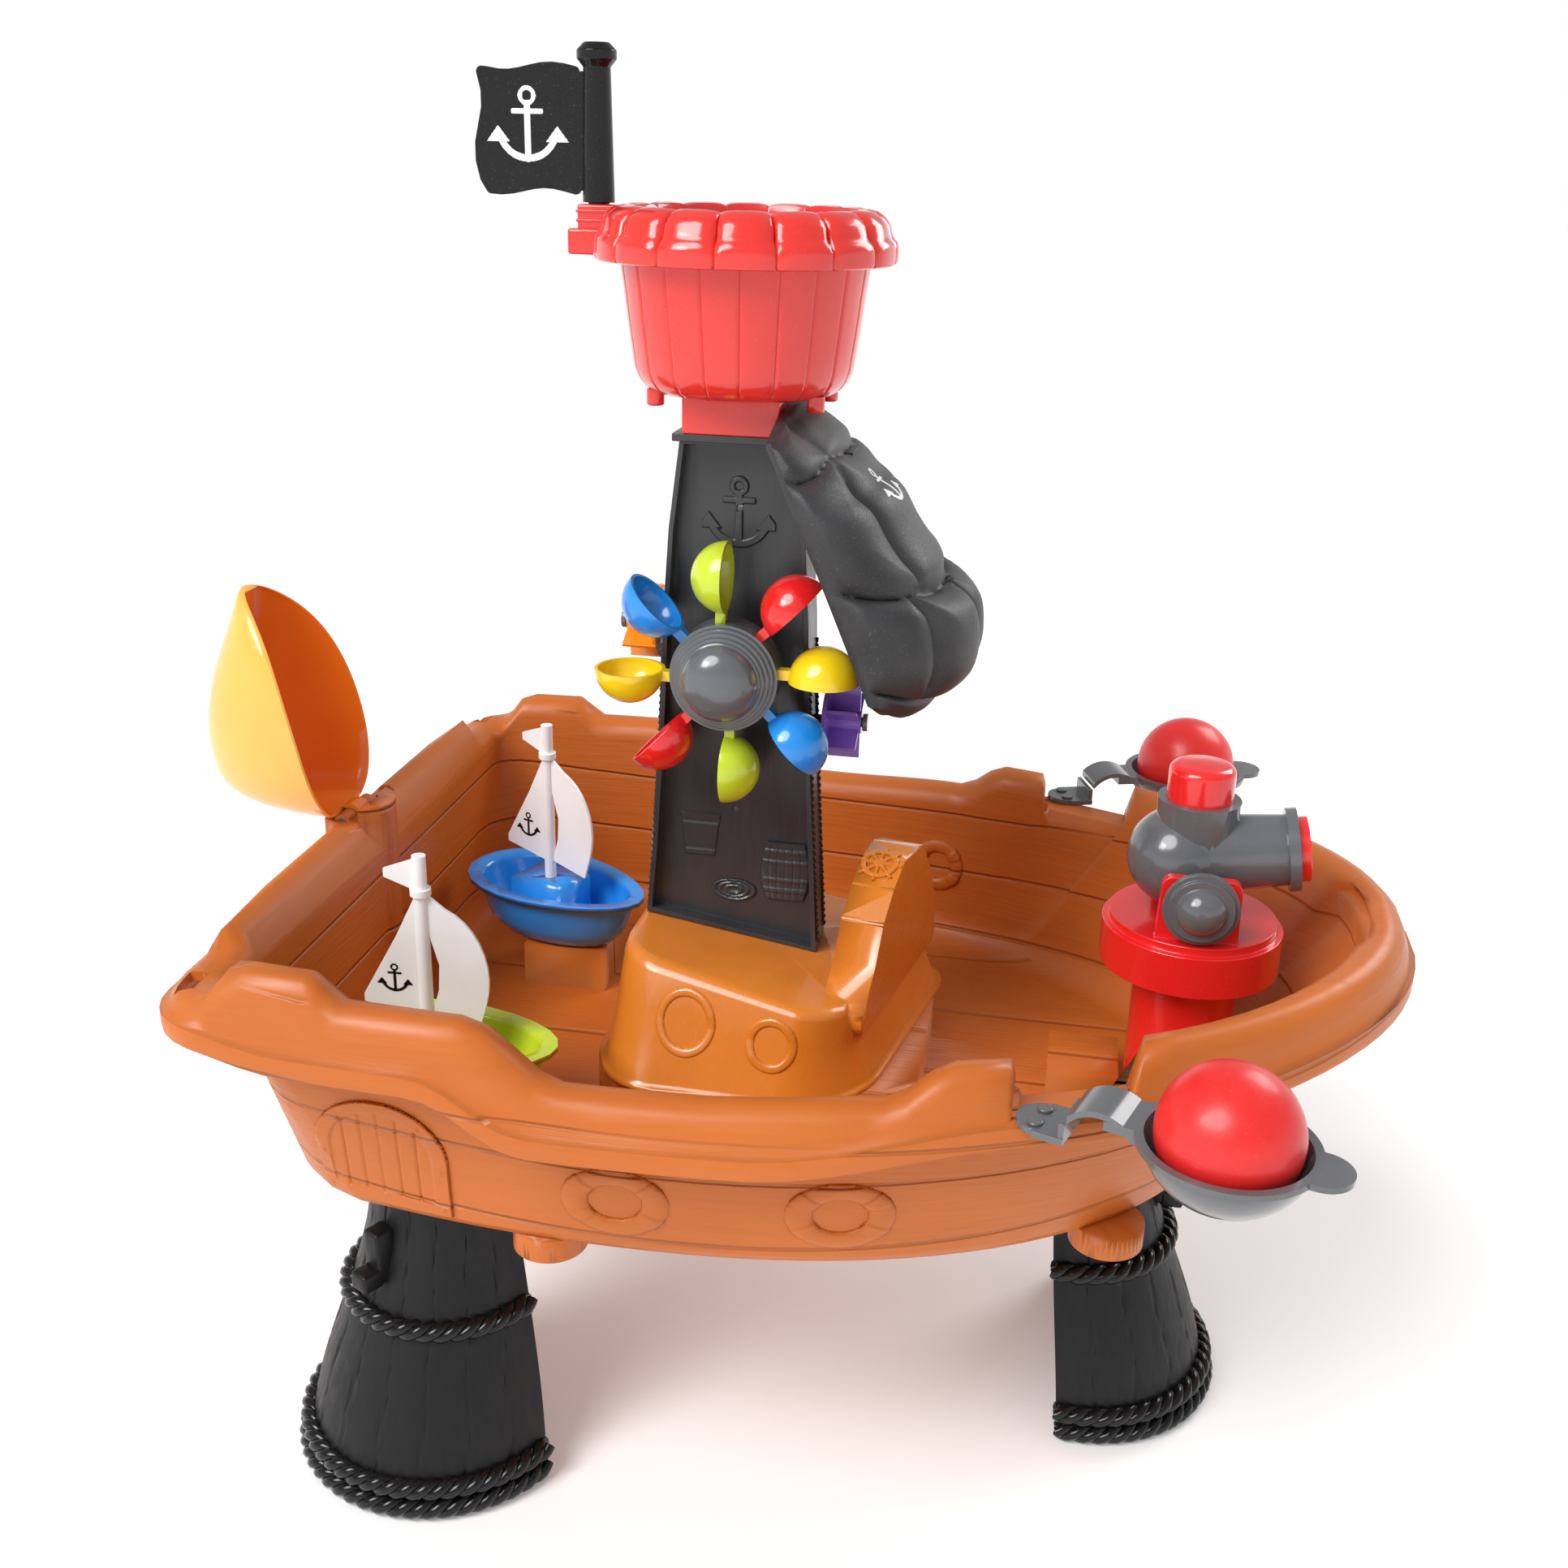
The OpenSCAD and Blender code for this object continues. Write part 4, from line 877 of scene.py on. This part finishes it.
def pail(a, b):
    """A bucket that widens upwards, with two grooves round it."""
    d = max(abs(a) - 11 - b * 0.12, abs(b) - 14)
    if d >= 1:
        return -1
    groove = 0.6 if abs(abs(b) - 9) < 1 and d < 0 else 0
    return 1.2 * step_up(d) - groove


tower = surface("tower_front")
for name, x, z, size, height, step in (("tower_barrel", 3, 342, (38, 44), barrel, 0.6),
                                       ("tower_coil", -30, 326, (36, 22), coil, 0.6),
                                       ("tower_anchor", -30, 565, (44, 52), raised_anchor, 0.5),
                                       ("tower_bucket", -52, 362, (40, 50), pail, 0.6)):
    relief(name, "tower_grey", "tower_front", "table", tower, (x, -10, z), (1, 0, 0), (0, 0, 1), size,
           height, step, 12)

NECK_Z = 532            # mm; the height where the tower's curved sides end and its straight top starts
NECK_HALF = 43.8        # mm; half of the tower's width there


def tower_half(z):
    """Half of the tower's width at a height."""
    if z > NECK_Z:
        return NECK_HALF + (34 - NECK_HALF) * (z - NECK_Z) / 78
    k = smooth_step(z, 150, NECK_Z) * 1.25 - 0.25
    return 57 * (1 - k) + NECK_HALF * k


bm = bmesh.new()
for k, foot, count in ((-1, 308, 82), (1, 298, 88)):
    for y in (-12.5, 12.5):
        path = [Vector((TOWER_X + k * (tower_half(z) + 0.2), y, z)) for z in
                [foot + i * 2.2 for i in range(count)]]
        strands(bm, path, 1.7, 9, 2, 6)
finish_tubes("tower_ropes", bm, "tower_grey", "table", "tower_grey")

# ---------- sail with its billows ----------

# middle of the sail's front, seen from the side, from the top down: along and up
SAIL_FRONT = [(1, 633), (7, 628), (20, 620), (32, 611), (40, 601), (48, 590), (60, 581), (69, 566), (77, 555),
              (87, 545), (92, 536), (108, 522), (112, 503), (109, 487), (97, 470), (82, 459), (74, 457)]
SAIL_SEAMS = (0.0, 0.155, 0.555, 0.90, 1.0)      # where the rows of billows meet, along that line
SAIL_LOBES = (3, 3, 4, 1)                        # billows side by side in each row
SAIL_DEPTHS = (6.0, 9.5, 9.5, 5.5)               # mm; how far each row's billows stand out
SAIL_TOP, SAIL_DROP = 633, 176                   # mm; the sail's top, and its height
LEVELS = 120                                     # steps down the sail
COLUMNS = 96                                     # steps across it


def along(points, f):
    """A smooth point at fraction f of a line's length."""
    steps = [math.dist(p, q) for p, q in zip(points, points[1:])]
    left = f * sum(steps)
    i = 0
    while i < len(steps) - 1 and left > steps[i]:
        left -= steps[i]
        i += 1
    k = min(1, left / steps[i])
    p = [points[min(len(points) - 1, max(0, i + o))] for o in (-1, 0, 1, 2)]
    return [0.5 * (2 * p[1][c] + (p[2][c] - p[0][c]) * k
                   + (2 * p[0][c] - 5 * p[1][c] + 4 * p[2][c] - p[3][c]) * k * k
                   + (3 * p[1][c] - p[0][c] - 3 * p[2][c] + p[3][c]) * k ** 3) for c in (0, 1)]


def pillow(f):
    """The outline of a puffed row: 0 at its ends and near 1 between them."""
    return max(0, 1 - abs(2 * f - 1) ** 2.6) ** 0.55


def billow(f, side):
    """How far a point stands out of the plain sail: f down its length, side from -1 to 1 across."""
    for k, lobes in enumerate(SAIL_LOBES):
        place = (side * (1 - 0.10 * (1 - f)) + 1) / 2 * lobes
        part = place - math.floor(place) if 0 < place < lobes else 0
        low = SAIL_SEAMS[k + 1] + (0.022 * math.sin(math.pi * part) if k in (0, 1) else 0)
        top = SAIL_SEAMS[k] + (0.022 * math.sin(math.pi * part) if k in (1, 2) else 0)
        if f <= low:
            break
    span = (f - top) / (low - top)
    wide = pillow(part) if lobes > 1 else pillow((side + 1) / 2)
    return SAIL_DEPTHS[k] * min(pillow(max(0, min(1, span))), wide) - 4.5


def sail_ring(f):
    """The plain sail's front and back edges at fraction f of its length, from one side to the other."""
    cx, cz = along(SAIL_FRONT, f)
    t = (SAIL_TOP - cz) / SAIL_DROP
    e = min(1, max(0, (t + 0.3) / 0.6))
    sx, sy, sz = -1 + 63 * t ** 0.9 if t > 0 else -1, 58 + 24 * e * e * (3 - 2 * e), 619 - 141 * t
    b = max(5, cx - sx)
    outer, inner = [], []
    for i in range(COLUMNS + 1):
        a = math.radians(90 * (2 * i / COLUMNS - 1))
        c = max(0.0, math.cos(a))
        k, w = c ** 0.85, c ** 1.6
        outer.append(Vector((sx + b * k, sy * math.sin(a), sz + (cz - sz) * w)))
        inner.append(Vector((sx - 3 + (b - 4) * k, (sy - 4) * math.sin(a),
                             sz + (cz - sz) * w - (1 - t) * 3)))
    return outer, inner


def make_sail(node):
    """The billowed sail in the place of the plain one."""
    bm = bmesh.new()
    rows = [sail_ring(i / LEVELS) for i in range(LEVELS + 1)]
    grid = []
    for i, (outer, inner) in enumerate(rows):
        ring = []
        up_row, down_row = rows[max(0, i - 1)][0], rows[min(LEVELS, i + 1)][0]
        for j, p in enumerate(outer):
            across = outer[min(COLUMNS, j + 1)] - outer[max(0, j - 1)]
            n = across.cross(down_row[j] - up_row[j]).normalized()
            if n.x < 0:
                n = -n
            lift = billow(i / LEVELS, 2 * j / COLUMNS - 1)
            edge = min(1, j / 5, (COLUMNS - j) / 5)
            ring.append(bm.verts.new((p + n * lift * edge) * MM))
        ring += [bm.verts.new(p * MM) for p in reversed(inner)]
        grid.append(ring)
    m = len(grid[0])
    for a, b in zip(grid, grid[1:]):
        for j in range(m):
            bm.faces.new((a[j], b[j], b[(j + 1) % m], a[(j + 1) % m]))
    for ring in (grid[0], grid[-1]):
        for j in range(m // 2 - 1):
            bm.faces.new((ring[j], ring[j + 1], ring[m - 2 - j], ring[m - 1 - j]))
    # the clip that holds the sail to the tower
    clip = bmesh.ops.create_cube(bm, size=1.0)["verts"]
    for v in clip:
        v.co = Vector((0.0213 + v.co.x * 0.030, v.co.y * 0.020, 0.6015 + v.co.z * 0.009))
    bmesh.ops.remove_doubles(bm, verts=bm.verts, dist=2e-6)
    bmesh.ops.recalc_face_normals(bm, faces=bm.faces)
    ob = new_object("sail_billowed", bm, "sail_black", "table", "sail_black", 60)
    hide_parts(node)
    return ob


make_sail("sail")

# ---------- plain anchor badges on the flag and the sails ----------


def badge(name, mat, slot, body, on, origin, u, v, s):
    """A thin printed anchor laid on a surface."""
    def height(a, b):
        return 0.25 if anchor(a, b, s) < 0 else -1
    return relief(name, mat, slot, body, on, origin, u, v, (46 * s, 46 * s), height, 0.22 * s + 0.15, 15)


def surface_of(ob):
    """A ray-casting tree of one of the pieces made here, in millimetres."""
    verts = [v.co * 1000 for v in ob.data.vertices]
    return BVHTree.FromPolygons(verts, [list(p.vertices) for p in ob.data.polygons])


for k, side in ((1, "near"), (-1, "far")):
    badge("flag_badge_" + side, "white", "white", "flag", surface("flag_plate"), (-154, -4 * k, 774),
          (k, 0, 0), (0, 0, 1), 1.1)
# each toy boat's place in mm and turn in degrees; its sail stands 24 mm behind that place
for boat, (bx, by, turn) in {"blue": (-176, 82, -21), "green": (-175, -148, 3)}.items():
    c, s = math.cos(math.radians(turn)), math.sin(math.radians(turn))
    sheet = surface(boat + "_boat_sail")
    for k, side in ((1, "near"), (-1, "far")):
        badge("%s_boat_badge_%s" % (boat, side), "black_gloss", "black_gloss", boat + "_boat_body", sheet,
              (bx - 24 * c, by - 24 * s, 315), (k * c, k * s, 0), (0, 0, 1), 0.5)
badge("sail_badge", "white", "white", "table", surface_of(bpy.data.objects["sail_billowed"]), (54, -10, 586),
      (0, 1, 0), (-0.66, 0, 0.75), 0.72)

# ---------- studio ----------

FLOOR_HALF = 30         # m
FLOOR_GLOW = 0.17       # keeps the floor as white as the horizon
floor = bpy.data.meshes.new("floor")
corners = [(x * FLOOR_HALF, y * FLOOR_HALF, -0.0005) for x, y in ((-1, -1), (1, -1), (1, 1), (-1, 1))]
floor.from_pydata(corners, [], [(0, 1, 2, 3)])
floor_ob = bpy.data.objects.new("floor", floor)
scene.collection.objects.link(floor_ob)
t = Tree("floor")
t.shader.inputs["Emission Color"].default_value = (1, 1, 1, 1)
t.shader.inputs["Emission Strength"].default_value = FLOOR_GLOW
floor.materials.append(t.finish(t.mix(t.noise(3, 2), (0.93, 0.93, 0.93, 1), (0.95, 0.95, 0.95, 1)), 0.7))
MIDDLE = (0, 0, 0.35)

# a studio that is white round the horizon and grey overhead, with soft lights in it
world = bpy.data.worlds.new("studio")
scene.world = world
world.use_nodes = True
sky = world.node_tree
split = sky.nodes.new("ShaderNodeSeparateXYZ")
sky.links.new(sky.nodes.new("ShaderNodeTexCoord").outputs["Generated"], split.inputs[0])
fade = sky.nodes.new("ShaderNodeMapRange")
for socket, value in (("From Min", 0.10), ("From Max", 0.30), ("To Min", 1.0), ("To Max", 0.42)):
    fade.inputs[socket].default_value = value
sky.links.new(split.outputs[2], fade.inputs[0])
sky.nodes["Background"].inputs[0].default_value = (1, 1, 1, 1)
sky.links.new(fade.outputs[0], sky.nodes["Background"].inputs[1])


def light(name, kind, place, strength, size):
    """A light that shines on the middle of the table: size is a panel's sides, or a sun's angle first."""
    data = bpy.data.lights.new(name, kind)
    data.energy = strength
    if kind == "AREA":
        data.shape, data.size, data.size_y = "RECTANGLE", size[0], size[1]
    else:
        data.angle = size[0]
    ob = bpy.data.objects.new(name, data)
    scene.collection.objects.link(ob)
    ob.location = place
    ob.rotation_euler = (Vector(MIDDLE) - Vector(place)).to_track_quat("-Z", "Y").to_euler()


light("key", "SUN", (-1.1, -1.5, 2.3), 2.1, (0.6, 0))
light("softbox", "AREA", (-1.1, -1.2, 1.5), 8, (0.5, 0.5))
light("back", "AREA", (1.2, 1.2, 1.5), 14, (0.9, 0.9))

# ---------- camera at the photograph's viewing angle ----------

yaw, pitch, roll = -0.18029, -0.36380, 0.02209
ahead = Vector((math.sin(yaw) * math.cos(pitch), math.cos(yaw) * math.cos(pitch), math.sin(pitch)))
right = Vector((math.cos(yaw), -math.sin(yaw), 0))
up = right.cross(ahead)
cam_right = math.cos(roll) * right + math.sin(roll) * up
cam_up = -math.sin(roll) * right + math.cos(roll) * up
cam = bpy.data.cameras.new("camera")
cam.sensor_width, cam.lens, cam.shift_x = 36.0, 38.391, 0.0080
cam_ob = bpy.data.objects.new("camera", cam)
scene.collection.objects.link(cam_ob)
cam_ob.matrix_world = Matrix.Translation((0.16593, -0.95648, 0.76714)) @ Matrix(
    (cam_right, cam_up, -ahead)).transposed().to_4x4()
scene.camera = cam_ob
